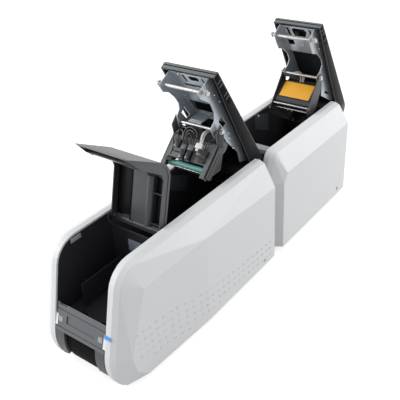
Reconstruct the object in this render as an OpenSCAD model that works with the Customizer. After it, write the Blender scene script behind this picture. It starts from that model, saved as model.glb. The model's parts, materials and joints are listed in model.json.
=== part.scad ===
// Card printer with a laminator module behind it, in millimetres.
// X is to the right, Y to the back and Z up, and the desk is at zero.
// Both top covers and the card hopper cover are drawn open.

/* [Body] */
// Width over the two side panels
body_w = 173; // [150:1:210]
// Clear width between the inner rims of the panels
bay_w = 96.4; // [90:0.1:110]
// Height of the side panels above the desk
panel_h = 192; // [180:1:210]
// Length of the printer side panels
printer_l = 377.6; // [360:0.1:400]
// Length of the laminator side panels
laminator_l = 276; // [260:1:300]
// Distance from the centre pad back to the end of the printer panels
seam_y = 50; // [45:1:60]
// Gap between the printer panels and the front of the laminator panels
module_gap = 13; // [10:1:20]
// How far the laminator core stands out behind its panels
core_out = 26; // [20:1:35]
// Height of the underside of the printer panels
printer_under = 6; // [5:0.5:8]
// Height of the underside of the laminator panels
laminator_under = 12; // [10:0.5:14]
// Height of the card path
path_z = 83.5; // [80:0.5:90]
// Wall of the side panels
panel_wall = 3; // [2:0.1:4]
// Wall of the inner frames
frame_wall = 2.5; // [2:0.1:3.5]
// Thickness of the base plates
base_thick = 3; // [2:0.1:3]

/* [Panel shape] */
// Width of the bright flat bead along the inner rim
bead_w = 8.8; // [6:0.1:12]
// Radius of the upper front corner
corner_r = 40; // [30:1:50]
// How far the corner lies behind the chin
lean_back = 25.6; // [15:0.1:35]
// Radius of the rounded chin
chin_r = 69.6; // [55:0.1:80]
// Height of the centre of the chin radius
chin_z = 50; // [40:1:60]
// Radius of the upper front corner of the laminator
laminator_corner_r = 18; // [12:1:25]

/* [Card hopper] */
// Share of the printer length that lies behind the hopper bulkhead
bulkhead_share = 0.6356; // [0.62:0.001:0.65]
// How far the bulkhead ends below the panel top
bulkhead_drop = 24; // [20:1:42]
// Width of a card
card_w = 54; // [54:0.1:54.5]
// Clearance beside a card
card_clear = 0.8; // [0.5:0.1:1.5]
// Height of the card guides above the tray
guide_h = 40; // [30:1:50]
// Height of the feed slots
slot_h = 7.5; // [6:0.5:8]

/* [Front bar] */
// Height of the top edge of the bar
bar_top = 108.9; // [105:0.1:112]
// Height of the bottom edge of the bar
bar_bottom = 68.6; // [60:0.1:75]
// Width of the bar
bar_w = 93; // [80:0.5:95]
// Thickness of the bar near its foot
bar_thick = 9; // [6:0.5:12]
// Width and height of each button
button_size = 7.6; // [6:0.1:10]
// Travel of a button
button_travel = 1.5; // [1:0.1:2]

/* [Covers] */
// Width of the printer cover
cover_w = 93; // [88:0.5:94]
// Width of the laminator cover
laminator_cover_w = 91.6; // [88:0.1:94]
// Width of the hopper cover
hopper_cover_w = 92.8; // [88:0.1:94]
// Wall of the covers
cover_wall = 2.5; // [2:0.1:3.5]
// How far the closed covers lie below the panel top
cover_inset = 2; // [1:0.5:6]
// Gap between the bulkhead and the tip of the printer cover
cover_tip_gap = 14; // [10:0.5:20]
// Depth of the printer cover hinge below the panel top
cover_hinge_drop = 34; // [27:1:42]
// Distance of the printer cover hinge behind the panel ends
cover_hinge_back = 4; // [2:0.5:6]
// Opening angle of the printer cover
cover_open_angle = 57.5; // [45:0.5:60]
// Length of the laminator cover in front of its hinge
laminator_cover_l = 229; // [215:1:232]
// Depth of the laminator cover hinge below the panel top
laminator_hinge_drop = 65; // [57:1:72]
// Distance of the laminator cover hinge from the end of the core
laminator_hinge_in = 7; // [6:0.5:10]
// Opening angle of the laminator cover
laminator_open_angle = 58; // [45:0.5:60]
// Depth of the hopper cover hinge below the panel top
hopper_hinge_drop = 9; // [8:0.5:14]
// Distance of the hopper cover hinge behind the bulkhead face
hopper_hinge_back = 3; // [2:0.5:5]
// Opening angle of the hopper cover
hopper_open_angle = 105; // [90:1:110]
// Depth of the hopper cover flanges
hopper_flange = 13; // [8:0.5:16]
// Width of the rim band round the hopper cover
hopper_band = 4; // [2:0.5:6]

/* [Mechanism] */
// Thickness of the bracket plates
plate_t = 1.6; // [1:0.1:2.5]
// Distance of the bracket plates from the middle
plate_x = 33.7; // [30:0.1:36]
// Distance of the head carrier plates from the middle
head_x = 40; // [37:0.1:41]
// Distance of the heater carrier plates from the middle
carrier_x = 37; // [36:0.1:39]
// Radius of the long shafts of the covers
shaft_r = 2.5; // [2:0.1:3]
// Radius of the hinge pins
pin_r = 3; // [2:0.1:4]
// Radius of the transport rollers
roller_r = 10; // [8:0.1:11]
// Radius of the roller shafts
roller_shaft_r = 2.5; // [2:0.1:3]
// Length of the roller sleeves
roller_w = 56; // [54:0.5:60]
// Radius of the belt pulleys
pulley_r = 9; // [7:0.1:11]
// Width of the belt pulleys
pulley_w = 4; // [3:0.5:6]
// Thickness of the belts
belt_t = 1.2; // [0.8:0.1:2]
// Radius of the ribbon motor
motor_r = 16; // [12:0.5:18]
// Radius of the guide roller
guide_r = 4.2; // [3:0.1:4.4]
// Radius of the cleaning roller
cleaner_r = 6; // [5:0.1:8]

/* [Clearances] */
// Gap between pieces that meet
gap = 0.3; // [0.2:0.05:0.5]
// Running clearance of a shaft in its hole
run = 0.05; // [0.02:0.01:0.08]
// Overrun of a cut past a face
over = 1; // [0.5:0.1:2]

/* [Hidden] */
$fn = 48;

panel_white = "#d4d6d8";
core_black = "#202124";
cover_grey = "#3c3d3e";
bar_grey = "#6f7274";
zinc = "#b9bec3";
steel = "#d0d3d6";
rubber_black = "#18191b";
teal = "#1f7f7b";

bay_half = bay_w / 2;
body_half = body_w / 2;
front_y = seam_y - printer_l;
rear_y = seam_y + laminator_l;
core_y = rear_y + core_out;
lam_y = seam_y + module_gap;
corner_y = front_y + lean_back + corner_r;
corner_z = panel_h - corner_r;
chin_y = front_y + chin_r;
chin_end_angle = 180 + asin((chin_z - printer_under) / chin_r);
rim_angle = atan2(corner_z - chin_z, corner_y - chin_y)
  + acos((chin_r - corner_r) / norm([corner_y - chin_y, corner_z - chin_z]));
cover_top = panel_h - cover_inset;
cover_hinge_z = panel_h - cover_hinge_drop;
laminator_hinge_z = panel_h - laminator_hinge_drop;
hopper_hinge_z = panel_h - hopper_hinge_drop;
bulkhead_h = panel_h - bulkhead_drop;
frame_in = bay_half + gap;
frame_inset = panel_wall + gap;
frame_top = panel_h - frame_inset;
printer_back = lam_y - gap - gap;
floor_z = printer_under + frame_inset;
lam_floor_z = laminator_under + gap;
bulkhead_y = seam_y - bulkhead_share * printer_l;
hinge_y = seam_y + cover_hinge_back;
lam_hinge_y = core_y - laminator_hinge_in;
hopper_y = bulkhead_y + hopper_hinge_back;
hopper_reach_share = 0.8576;
hopper_l = (bulkhead_y - front_y) * hopper_reach_share;
tip_y = bulkhead_y + cover_tip_gap;
cover_l = hinge_y - tip_y;
lam_tip_y = lam_hinge_y - laminator_cover_l;
cover_half = cover_w / 2;
lam_cover_half = laminator_cover_w / 2;
hopper_half = hopper_cover_w / 2;
cover_drop = cover_top - path_z;
lam_reach = core_y - lam_tip_y;
roller_z = path_z - gap / 2 - roller_r;
slot_half = card_w / 2 + card_clear * 2;
bar_lean_share = 1.364;
bar_lean = lean_back / (panel_h - corner_r - chin_z) * bar_lean_share;
bar_front_share = 0.629;
bar_front = front_y + bar_front_share * lean_back;

// Angle steps of the rounded outlines
corner_steps = 6;
chin_back_angle = 180;

// Places of the rollers along the bays, as shares of the printer and laminator lengths
roller_shares = [0.2982, 0.4703, 0.7405, 0.9206, 0.6028];
lam_roller_shares = [0.3623, 0.6957, 0.9301, 0.5072];
pick_y = front_y + roller_shares[0] * printer_l;
feed_y = front_y + roller_shares[1] * printer_l;
platen_y = front_y + roller_shares[2] * printer_l;
exit_y = front_y + roller_shares[3] * printer_l;
motor_y = front_y + roller_shares[4] * printer_l;
entry_y = seam_y + lam_roller_shares[0] * laminator_l;
press_y = seam_y + lam_roller_shares[1] * laminator_l;
outlet_y = seam_y + lam_roller_shares[2] * laminator_l;
lam_motor_y = seam_y + lam_roller_shares[3] * laminator_l;

// Outlines seen from the right, as shares of the length and the height that they follow
ridge_shares = [[0.1658, 0.7969], [0.1314, 0.6354], [0.0651, 0.3021], [0.0837, 0.1458],
  [0.1393, 0.0417]];
outer_shares = [[1, 0.776], [0.4942, 0.8385], [0.4942, 0.0573], [1, 0.0573]];
sill_shares = [[1, 0.0573], [0.4942, 0.0573], [0.4942, 0.0323], [1, 0.0323]];
lam_outer_shares = [[0.1087, 0.0625], [0.1087, 0.7344], [0.1486, 0.8177], [1, 0.8073], [1, 0.0625]];
ridge_x_share = 0.735;
round_x_share = 0.45;
round_in_share = 0.4;
lam_ridge_share = 0.9;
lam_chin_z_share = 0.734;

bracket_right_shares = [[0.0304, 0.9718], [0.013, 0.615], [0.0652, 0.615], [0.1696, 0.7183],
  [0.2609, 0.6901], [0.3, 0.6244], [0.3087, 0.493], [0.4, 0.4742],
  [0.4174, 0.6244], [0.5391, 0.6244], [0.713, 0.7089], [0.8043, 0.6526],
  [0.8783, 0.8028], [0.5913, 0.8498], [0.4391, 0.9718]];
bracket_left_shares = [[0.0261, 0.9718], [0.013, 0.615], [0.0783, 0.615], [0.1261, 0.6901],
  [0.2043, 0.7277], [0.2652, 0.7277], [0.3, 0.6901], [0.3174, 0.5869],
  [0.4, 0.5117], [0.4174, 0.6244], [0.5391, 0.6244], [0.713, 0.7089],
  [0.8043, 0.6526], [0.8783, 0.8028], [0.5913, 0.8498], [0.4391, 0.9718]];
diamond_shares = [[0.3304, 0.7746], [0.4261, 0.784], [0.4174, 0.6995], [0.3391, 0.6808]];
tongue_shares = [[0.367, 0.6207], [0.4287, 0.884], [0.487, 0.884], [0.487, 0.8685],
  [0.433, 0.8685], [0.373, 0.6131]];
web_cut_shares = [[[0.2923, 0.0318], [0.3516, 0.0318], [0.3813, 0.1682], [0.322, 0.1682]],
  [[0.4407, 0.0591], [0.5, 0.0318], [0.6929, 0.0318], [0.7374, 0.0591],
  [0.6929, 0.1227], [0.4852, 0.1227]],
  [[0.7967, 0.0318], [0.8487, 0.0318], [0.8709, 0.15], [0.819, 0.15]],
  [[0.2329, 0.2091], [0.8858, 0.2091], [0.8858, 0.2545], [0.2329, 0.2545]],
  [[0.0401, 0.6045], [0.9599, 0.6045], [0.9599, 0.8318], [0.0846, 0.8318]]];
lam_web_cut_shares = [[[0.2923, 0.1364], [0.3516, 0.0455], [0.678, 0.0455], [0.7374, 0.1515],
  [0.6484, 0.3636], [0.3368, 0.3636]],
  [[0.1291, 0.0455], [0.2033, 0.0455], [0.2478, 0.3485], [0.1736, 0.3485]],
  [[0.8116, 0.0455], [0.8709, 0.0455], [0.8858, 0.3485], [0.8264, 0.3485]],
  [[0.0549, 0.5303], [0.2478, 0.5303], [0.2478, 0.7273], [0.0549, 0.7273]]];
carrier_shares = [[0.3348, 0.6338], [0.3522, 0.4742], [0.4174, 0.4178], [0.4639, -0.0892],
  [0.5043, -0.0798], [0.5913, 0.23], [0.5043, 0.4648], [0.4087, 0.6338]];
face_shares = [[0.4209, 0.4178], [0.4652, -0.0939], [0.473, -0.0939], [0.4287, 0.4178]];
face_cut_share = 0.09;
duct_shares = [[0.4739, -0.061], [0.5348, -0.0329], [0.5174, 0.2676], [0.4957, 0.493],
  [0.4391, 0.3991]];
latch_shares = [[0.0457, 0.6948], [0.3783, 0.5869], [0.4913, 0.0516], [0.5204, 0.0272],
  [0.5174, 0.5399]];
head_shares = [[0.5304, 0.0085], [0.5652, 0.0085], [0.6087, 0.1925], [0.5913, 0.3427],
  [0.5304, 0.3427]];
lam_bracket_shares = [[0.0169, 0.9718], [0.0212, 0.6526], [0.0932, 0.6385], [0.1695, 0.6432],
  [0.2119, 0.7371], [0.3136, 0.8122], [0.3771, 0.8028], [0.3983, 0.6995],
  [0.3898, 0.5399], [0.4492, 0.5399], [0.5085, 0.6432], [0.6017, 0.5117],
  [0.7797, 0.7183], [0.8347, 0.8404], [0.8347, 0.9437], [0.2712, 0.9718]];
lam_hole_shares = [[0.6356, 0.6995], [0.7458, 0.7746], [0.6186, 0.615]];
heater_shares = [[0.3941, 0.6432], [0.4025, 0.5399], [0.4661, 0.1362], [0.4958, -0.061],
  [0.5678, -0.061], [0.6059, 0.1831], [0.5169, 0.5305], [0.4449, 0.6432]];
heater_block_shares = [[0.4661, 0.493], [0.4788, 0.1643], [0.4915, 0.0798], [0.5763, 0.0798],
  [0.5932, 0.1925], [0.5508, 0.493]];
lam_latch_shares = [[0.0508, 0.7089], [0.4195, 0.5869], [0.5, 0.0385], [0.5508, 0.0291]];

latch_y = tip_y + latch_shares[0][0] * cover_l;
latch_z = path_z + latch_shares[0][1] * cover_drop;
pivot_y = tip_y + latch_shares[1][0] * cover_l;
pivot_z = path_z + latch_shares[1][1] * cover_drop;
guide_y = tip_y + latch_shares[2][0] * cover_l;
guide_z = path_z + latch_shares[2][1] * cover_drop;
rod_y = tip_y + latch_shares[3][0] * cover_l;
rod_z = path_z + latch_shares[3][1] * cover_drop;
ribbon_y = tip_y + latch_shares[4][0] * cover_l;
ribbon_z = path_z + latch_shares[4][1] * cover_drop;
lam_latch_y = lam_tip_y + lam_latch_shares[0][0] * lam_reach;
lam_latch_z = path_z + lam_latch_shares[0][1] * cover_drop;
lam_pivot_y = lam_tip_y + lam_latch_shares[1][0] * lam_reach;
lam_pivot_z = path_z + lam_latch_shares[1][1] * cover_drop;
heat_bar_y = lam_tip_y + lam_latch_shares[2][0] * lam_reach;
heat_bar_z = path_z + lam_latch_shares[2][1] * cover_drop;
heat_rod_y = lam_tip_y + lam_latch_shares[3][0] * lam_reach;
heat_rod_z = path_z + lam_latch_shares[3][1] * cover_drop;

// Card deck and inner walls
deck_t = 3;
small_pin_share = 0.5;
deck_half = 34;
cross_wall_out = 45;
rear_wall_z = path_z + 36.5;
lam_step_z = panel_h - 42;
rear_top_z = path_z + 28.5;
deck_start_y = hinge_y + cover_top - cover_hinge_z + 2;
deck_flat_y = deck_start_y + 16;
deck_end_y = deck_start_y + 31;
deck_top_z = frame_top;
deck_foot_z = lam_step_z;
deck_y_shares = [0.5763, 0.8676];
lam_deck_y_shares = [0.5145, 0.8188];
deck_ys = [for (s = deck_y_shares) front_y + s * printer_l];
lam_deck_ys = [for (s = lam_deck_y_shares) seam_y + s * laminator_l];

// Feet
foot_r = 9;
foot_x = 36;
foot_shares = [0.1525, 0.947];
lam_foot_shares = [0.1449, 0.942];
foot_ys = [for (s = foot_shares) front_y + s * printer_l];
lam_foot_ys = [for (s = lam_foot_shares) seam_y + s * laminator_l];

// Side screws
sill_share = 0.17;
screw_r = 3.2;
screw_y = seam_y - 33;
screw_z = printer_under + 15;
lam_screw_y = rear_y - 32;
lam_screw_z = laminator_under + 12;

// Front bar, its slot, buttons, strips and the tab
slot_top = bar_bottom + 25.6;
slot_foot = bar_bottom + 14;
slot_deep = 1.6;
slot_x = 27;
bar_step_top = bar_top - 8.6;
bar_step_foot = bar_bottom + 6.6;
bar_cut_z = bar_top - 9.9;
button_x = 41.6;
button_z = bar_bottom + 17.6;
button_deep = 5;
notch_w = 13;
strip_top = bar_top - 17;
strip_foot = bar_bottom + 6.8;
strip_w = 3;
tab_top = bar_top - 10.4;
tab_foot = bar_top - 16;
tab_t = 0.6;
tab_w = 12;

// Legs and skirt
leg_x = 30;
leg_end_angle = 198.5;
leg_deep = 12;
leg_foot_z = chin_z - 22;
leg_step = 4;
skirt_round = 20;

// Hopper tray, gate and rear fittings
tray_front = chin_y - cross_wall_out + frame_wall + gap;
gate_t = 2;
gate_h = 26;
inlet_x = -28;
inlet_w = 28;
inlet_h = 20;
inlet_z = 46;
inlet_deep = 14;
port_w = 12;
switch_w = 12;
switch_h = 18;
switch_deep = 8;

// Board, motors and belts
board_off = 4;
board_shares = [[0.4174, 0.1302], [0.8941, 0.7292]];
board_y0 = front_y + board_shares[0][0] * printer_l;
board_y1 = front_y + board_shares[1][0] * printer_l;
board_z0 = panel_h * board_shares[0][1];
board_z1 = panel_h * board_shares[1][1];
chip_shares = [[0.1, 0.25, 0.5, 0.75], [0.4, 0.5, 0.2, 0.45], [0.6, 0.9, 0.6, 0.7],
  [0.65, 0.72, 0.15, 0.4], [0.8, 0.86, 0.15, 0.4]];
drive_r = 17;
belt_x = frame_in + frame_wall + 2;

// Shafts, webs and windows of the brackets
latch_half = 43;
web_h = 18;
web_l_shares = [0.4783, 0.2797];
web_z_share = 0.9014;
web_z = path_z + web_z_share * cover_drop;
web_y = latch_y - shaft_r * 2;
web_l = web_l_shares[0] * cover_l;
lam_web_y = lam_latch_y - shaft_r * 2;
lam_web_l = web_l_shares[1] * lam_reach;
tongue_x_shares = [-0.6, 0.1];
flange_z = cover_top - cover_wall - gap;
head_web_z = guide_z + 11;
window_shares = [[0.073, 0.1116], [0.133, 0.1545]];
cover_lip = 13;
tip_groove = 1.6;
duct_ribs = 7;
cable_shares = [-0.3, -0.12, 0.1];
cable_r = 9;

// Corner and tip of the hopper cover
hopper_round = 26.5;
hopper_round_share = 0.6525;
hopper_tip_z = path_z + 18;
hopper_foot_shares = [[0.8814, 0.3474], [0.8263, 0.4648], [0.7864, 0.6244], [0.7237, 0.8272],
  [0.6356, 0.88]];
hopper_lip_shares = [[0.8985, 0.36], [0.883, 0.3474], [0.8263, 0.48], [0.845, 0.49]];
hopper_rib_shares = [0.07, 0.45];
hopper_panel_shares = [-0.33, 0.24];
hopper_end_angle = 166;

// Rear skirt of the laminator cover
skirt_r = 18;
skirt_out = 6.5;
skirt_foot = laminator_hinge_z + 5;
skirt_top = laminator_hinge_z + 35;
heater_slot = 4;
wire_r = 12;

// Outer edge of the closed hopper cover, set in
function hopper_edge(in) = concat(
  arc(hopper_y, hopper_hinge_z, cover_top - hopper_hinge_z - in, 0, 90, corner_steps),
  arc(hopper_y - hopper_l * hopper_round_share, cover_top - hopper_round, hopper_round - in,
    90, hopper_end_angle, corner_steps),
  [[hopper_y - hopper_l + in, hopper_tip_z + in * 2]]);

function spread(shares, y0, ly, z0, lz) = [for (s = shares) [y0 + s[0] * ly, z0 + s[1] * lz]];
function arc(cy, cz, r, a0, a1, n) =
  [for (i = [0 : n]) [cy + r * cos(a0 + (a1 - a0) * i / n), cz + r * sin(a0 + (a1 - a0) * i / n)]];
function turned(p, cy, cz, a) =
  [cy + (p[0] - cy) * cos(a) - (p[1] - cz) * sin(a), cz + (p[0] - cy) * sin(a) + (p[1] - cz) * cos(a)];
function lean_y(z) = bar_front - (bar_top - z) * bar_lean;
function rim_y(z) = chin_y + chin_r * cos(rim_angle)
  - (z - chin_z - chin_r * sin(rim_angle)) * tan(rim_angle);

// Rim of the printer panel, set in by a wall
function rim(in, back) = concat(
  [[back, panel_h - in]],
  arc(corner_y, corner_z, corner_r - in, 90, rim_angle, corner_steps),
  arc(chin_y, chin_z, chin_r - in, rim_angle, chin_end_angle, corner_steps),
  [[back, printer_under + in]]);

// Rim of the laminator panel, set in by a wall
function lam_rim(in, back) = concat(
  [[back, panel_h - in]],
  arc(lam_y + module_gap + laminator_corner_r, panel_h - laminator_corner_r,
    laminator_corner_r - in, 90, chin_back_angle, corner_steps),
  [[lam_y + in, panel_h * lam_chin_z_share], [lam_y + in, laminator_under + in],
    [back, laminator_under + in]]);

module side_cut(points, x0, thick) {
  translate([x0, 0, 0])
    rotate([90, 0, 90])
      linear_extrude(height = thick)
        polygon(points);
}

module cross_bar(y, z, r, x0, x1) {
  translate([x0, y, z])
    rotate([0, 90, 0])
      cylinder(r = r, h = x1 - x0);
}

module both_sides() {
  children();
  mirror([1, 0, 0])
    children();
}

module opened(y, z, angle) {
  translate([0, y, z])
    rotate([-angle, 0, 0])
      translate([0, -y, -z])
        children();
}

module block(x0, x1, y0, y1, z0, z1) {
  translate([x0, y0, z0])
    cube([x1 - x0, y1 - y0, z1 - z0]);
}

// Cuts and passages that several pieces share
module shaft_holes(ys, z, r) {
  for (y = ys)
    cross_bar(y, z, r + run, -body_half, body_half);
}

module feed_slot(y) {
  block(-slot_half, slot_half, y - over, y + frame_wall + over,
    path_z - slot_h / 3, path_z + slot_h * 2 / 3);
}

module printer_frame() {
  color(core_black)
    difference() {
      union() {
        both_sides()
          side_cut(rim(frame_inset, printer_back), frame_in, frame_wall);
        block(-frame_in, frame_in, chin_y - cross_wall_out, printer_back, floor_z, floor_z + frame_wall);
        block(-frame_in, frame_in, bulkhead_y - frame_wall, bulkhead_y, floor_z, bulkhead_h);
        block(-frame_in, frame_in, printer_back - frame_wall, printer_back, floor_z, rear_wall_z);
        block(-frame_in, frame_in, chin_y - cross_wall_out, chin_y - cross_wall_out + frame_wall,
          floor_z, bar_bottom + cross_wall_out / 2);
        for (y = deck_ys)
          block(-frame_in, frame_in, y, y + frame_wall, floor_z, path_z - deck_t - deck_t - gap);
      }
      feed_slot(bulkhead_y - frame_wall);
      feed_slot(printer_back - frame_wall);
      shaft_holes([pick_y, feed_y, platen_y, exit_y], roller_z, roller_shaft_r);
      cross_bar(hinge_y, cover_hinge_z, pin_r + run, -body_half, body_half);
      cross_bar(hopper_y, hopper_hinge_z, pin_r * small_pin_share + run, -body_half, body_half);
      cross_bar(motor_y, roller_z, roller_shaft_r + run, -body_half, -frame_in + over);
    }
}

module laminator_frame() {
  color(core_black)
    difference() {
      union() {
        both_sides()
          side_cut(concat([[core_y - frame_inset, lam_step_z], [rear_y + frame_inset, lam_step_z],
            [rear_y, frame_top]],
            [for (i = [1 : len(lam_rim(frame_inset, rear_y)) - 1])
              lam_rim(frame_inset, core_y - frame_inset)[i]]), frame_in, frame_wall);
        block(-frame_in, frame_in, lam_y + frame_inset, core_y - frame_inset,
          laminator_under + frame_inset, laminator_under + frame_inset + frame_wall);
        block(-frame_in, frame_in, deck_end_y, deck_end_y + frame_wall,
          laminator_under + frame_inset, deck_foot_z);
        for (y = lam_deck_ys)
          block(-frame_in, frame_in, y, y + frame_wall,
            laminator_under + frame_inset, path_z - deck_t - deck_t - gap);
        block(-frame_in, frame_in, rear_y + frame_inset, core_y - frame_inset,
          rear_top_z - frame_wall, rear_top_z);
      }
      feed_slot(deck_end_y);
      shaft_holes([entry_y, press_y, outlet_y], roller_z, roller_shaft_r);
      cross_bar(lam_hinge_y, laminator_hinge_z, pin_r + run, -body_half, body_half);
      cross_bar(lam_motor_y, roller_z, roller_shaft_r + run, -body_half, -frame_in + over);
    }
}

module base_plates() {
  color(core_black) {
    block(-bay_half + gap, bay_half - gap, chin_y - cross_wall_out, printer_back,
      printer_under, printer_under + base_thick);
    block(-bay_half + gap, bay_half - gap, lam_y + frame_inset, core_y - gap - frame_wall,
      laminator_under, laminator_under + base_thick);
  }
}

module rubber_feet() {
  color(rubber_black) {
    for (y = foot_ys)
      both_sides()
        translate([foot_x, y, 0])
          cylinder(r1 = foot_r - over, r2 = foot_r, h = printer_under);
    for (y = lam_foot_ys)
      both_sides()
        translate([foot_x, y, 0])
          cylinder(r1 = foot_r - over, r2 = foot_r, h = laminator_under);
    cylinder(r = foot_r, h = printer_under);
  }
}

// Solid form of the printer panel, or of its hollow when set in by a wall
module panel_form(in, x0) {
  back = seam_y - in;
  panel_d = body_half - bay_half;
  hull() {
    side_cut(rim(in, back), x0, bay_half + bead_w - in - x0);
    side_cut(rim(in + panel_d * round_in_share * panel_wall / corner_r * 3, back),
      bay_half + panel_d * round_x_share - in, gap);
    side_cut([for (p = spread(ridge_shares, front_y, printer_l, 0, panel_h)) [p[0] + in, p[1]]],
      bay_half + panel_d * ridge_x_share - in, gap);
    side_cut([for (p = spread(outer_shares, front_y, printer_l, 0, panel_h))
      [min(p[0], back), p[1]]], body_half - in - gap, gap);
    side_cut([for (p = spread(sill_shares, front_y, printer_l, 0, panel_h))
      [min(p[0], back), max(p[1], printer_under + in)]], body_half - panel_d * sill_share - in, gap);
  }
}

module lam_panel_form(in, x0) {
  back = rear_y - in;
  panel_d = body_half - bay_half;
  hull() {
    side_cut(lam_rim(in, back), x0, bay_half + bead_w - in - x0);
    side_cut(lam_rim(in + panel_d * round_in_share * panel_wall / corner_r * 3, back),
      bay_half + panel_d * round_x_share - in, gap);
    side_cut([for (p = spread(lam_outer_shares, seam_y, laminator_l, 0, panel_h))
      [min(p[0] + in, back), max(p[1], laminator_under + in)]], body_half - in - gap, gap);
  }
}

// Recess for a side screw
module screw_recess(y, z) {
  cross_bar(y, z, screw_r + gap, bay_half, body_half + over);
}

// Passage for the frame wall through the back end of a panel
module wall_passage(y, z0) {
  block(bay_half - over, frame_in + frame_wall + gap, y - panel_wall - over, y + over,
    z0 + panel_wall, panel_h - panel_wall);
}

module printer_panel() {
  difference() {
    panel_form(0, bay_half);
    panel_form(panel_wall, bay_half - over);
    screw_recess(screw_y, screw_z);
    wall_passage(seam_y, printer_under);
  }
}

module laminator_panel() {
  difference() {
    lam_panel_form(0, bay_half);
    lam_panel_form(panel_wall, bay_half - over);
    screw_recess(lam_screw_y, lam_screw_z);
    wall_passage(rear_y, laminator_under);
  }
}

module printer_panel_right() {
  color(panel_white)
    printer_panel();
}

module printer_panel_left() {
  color(panel_white)
    mirror([1, 0, 0])
      printer_panel();
}

module laminator_panel_right() {
  color(panel_white)
    laminator_panel();
}

module laminator_panel_left() {
  color(panel_white)
    mirror([1, 0, 0])
      laminator_panel();
}

module panel_screws() {
  color(steel)
    both_sides() {
      cross_bar(screw_y, screw_z, screw_r, frame_in + frame_wall + gap, body_half - over);
      cross_bar(lam_screw_y, lam_screw_z, screw_r, frame_in + frame_wall + gap, body_half - over);
    }
}

module front_bar() {
  color(bar_grey)
    difference() {
      side_cut([[lean_y(bar_top), bar_top], [lean_y(bar_bottom), bar_bottom],
        [lean_y(bar_bottom) + bar_thick, bar_bottom], [lean_y(bar_cut_z) + bar_thick, bar_cut_z]],
        -bar_w / 2, bar_w);
      side_cut([[lean_y(slot_top) - over, slot_top], [lean_y(slot_foot) - over, slot_foot],
        [lean_y(slot_foot) + slot_deep, slot_foot], [lean_y(slot_top) + slot_deep, slot_top]],
        -slot_x, slot_x * 2);
      for (z = [bar_step_top, bar_step_foot])
        side_cut([[lean_y(z) - over, z], [lean_y(z) - over, z - slot_deep],
          [lean_y(z) + slot_deep / 2, z - slot_deep], [lean_y(z) + slot_deep / 2, z]],
          -bar_w, bar_w * 2);
      both_sides()
        button_form(gap, -over, button_deep + gap);
      both_sides()
        strip_form(gap, over + gap);
      block(-button_x, -button_x + notch_w, lean_y(bar_top) - over, lean_y(bar_top) + slot_deep,
        bar_top - slot_deep * 2, bar_top + over);
    }
}

// Button outline on the leaning face, grown by a clearance
module button_form(grow, out, deep) {
  z1 = button_z + button_size / 2 + grow;
  z0 = button_z - button_size / 2 - grow;
  side_cut([[lean_y(z1) + out, z1], [lean_y(z0) + out, z0], [lean_y(z0) + deep, z0 - deep * bar_lean],
    [lean_y(z1) + deep, z1 - deep * bar_lean]], button_x - button_size - grow, button_size + grow * 2);
}

module button_right() {
  color(panel_white)
    button_form(0, -over / 2, button_deep - button_travel);
}

module button_left() {
  color(panel_white)
    mirror([1, 0, 0])
      button_form(0, -over / 2, button_deep - button_travel);
}

module front_legs() {
  color(bar_grey)
    both_sides()
      difference() {
        side_cut(leg_outline(0), leg_x, bar_w / 2 - leg_x);
        side_cut(leg_outline(frame_wall), leg_x + frame_wall, bar_w / 2 - leg_x);
      }
}

function leg_outline(in) = concat(
  arc(chin_y, chin_z, chin_r - gap - in, rim_angle + 4 + in, leg_end_angle, corner_steps * 2),
  [[chin_y - chin_r + leg_deep, leg_foot_z], [chin_y - chin_r + leg_deep, bar_bottom - gap - in]],
  [[lean_y(bar_bottom) + in + gap, bar_bottom - gap - in]]);

module front_skirt() {
  color(core_black)
    difference() {
      side_cut(concat(
        arc(chin_y, chin_z, chin_r - leg_step, rim_angle + 4, chin_end_angle, corner_steps * 3),
        arc(chin_y, chin_z, chin_r - leg_step - frame_wall, chin_end_angle, rim_angle + 4,
          corner_steps * 3)),
        -leg_x + gap, leg_x * 2 - gap * 2);
      both_sides()
        translate([leg_x - skirt_round, 0, printer_under - over])
          rotate([90, 0, 0])
            linear_extrude(height = -front_y * 2, center = true)
              difference() {
                square([skirt_round * 2, skirt_round]);
                translate([0, skirt_round])
                  circle(r = skirt_round);
              }
    }
}

module light_strips() {
  color(panel_white)
    both_sides()
      strip_form(0, 0);
}

// Light strip on the leaning face, grown by a clearance
module strip_form(grow, out) {
  z1 = strip_top + grow;
  z0 = strip_foot - grow;
  side_cut([[lean_y(z1) - out, z1], [lean_y(z0) - out, z0], [lean_y(z0) + bar_thick / 2 + grow, z0],
    [lean_y(z1) + bar_thick / 2 + grow, z1]], bar_w / 2 - strip_w - grow,
    bay_half - gap - bar_w / 2 + strip_w + grow * 2);
}

module film_tab() {
  color("#2f6fc4")
    side_cut([[rim_y(tab_top) - gap - tab_t, tab_top], [rim_y(tab_foot) - gap - tab_t, tab_foot],
      [rim_y(tab_foot) - gap, tab_foot], [rim_y(tab_top) - gap, tab_top]], bay_half - over * 2, tab_w);
}

module hopper_tray() {
  color(core_black)
    difference() {
      union() {
        block(-frame_in + gap, frame_in - gap, tray_front, bulkhead_y - frame_wall - gap,
          path_z - deck_t, path_z - gap / 2);
        both_sides()
          block(card_w / 2 + card_clear, card_w / 2 + card_clear + frame_wall, tray_front + guide_h / 2,
            bulkhead_y - frame_wall - gap, path_z - gap / 2, path_z + guide_h);
        both_sides()
          block(card_w / 2 + card_clear + frame_wall, frame_in - gap, tray_front + guide_h,
            tray_front + guide_h + frame_wall, path_z - gap / 2, path_z + guide_h * 2 / 3);
        both_sides()
          block(card_w / 2 + card_clear + frame_wall, frame_in - gap, tray_front + guide_h * 2,
            tray_front + guide_h * 2 + frame_wall, path_z - gap / 2, path_z + guide_h * 2 / 3);
      }
      roller_window(pick_y);
      both_sides()
        block(card_w / 4, card_w / 2, tray_front - over, tray_front + guide_h / 4,
          path_z - deck_t - over, path_z + over);
    }
}

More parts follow.
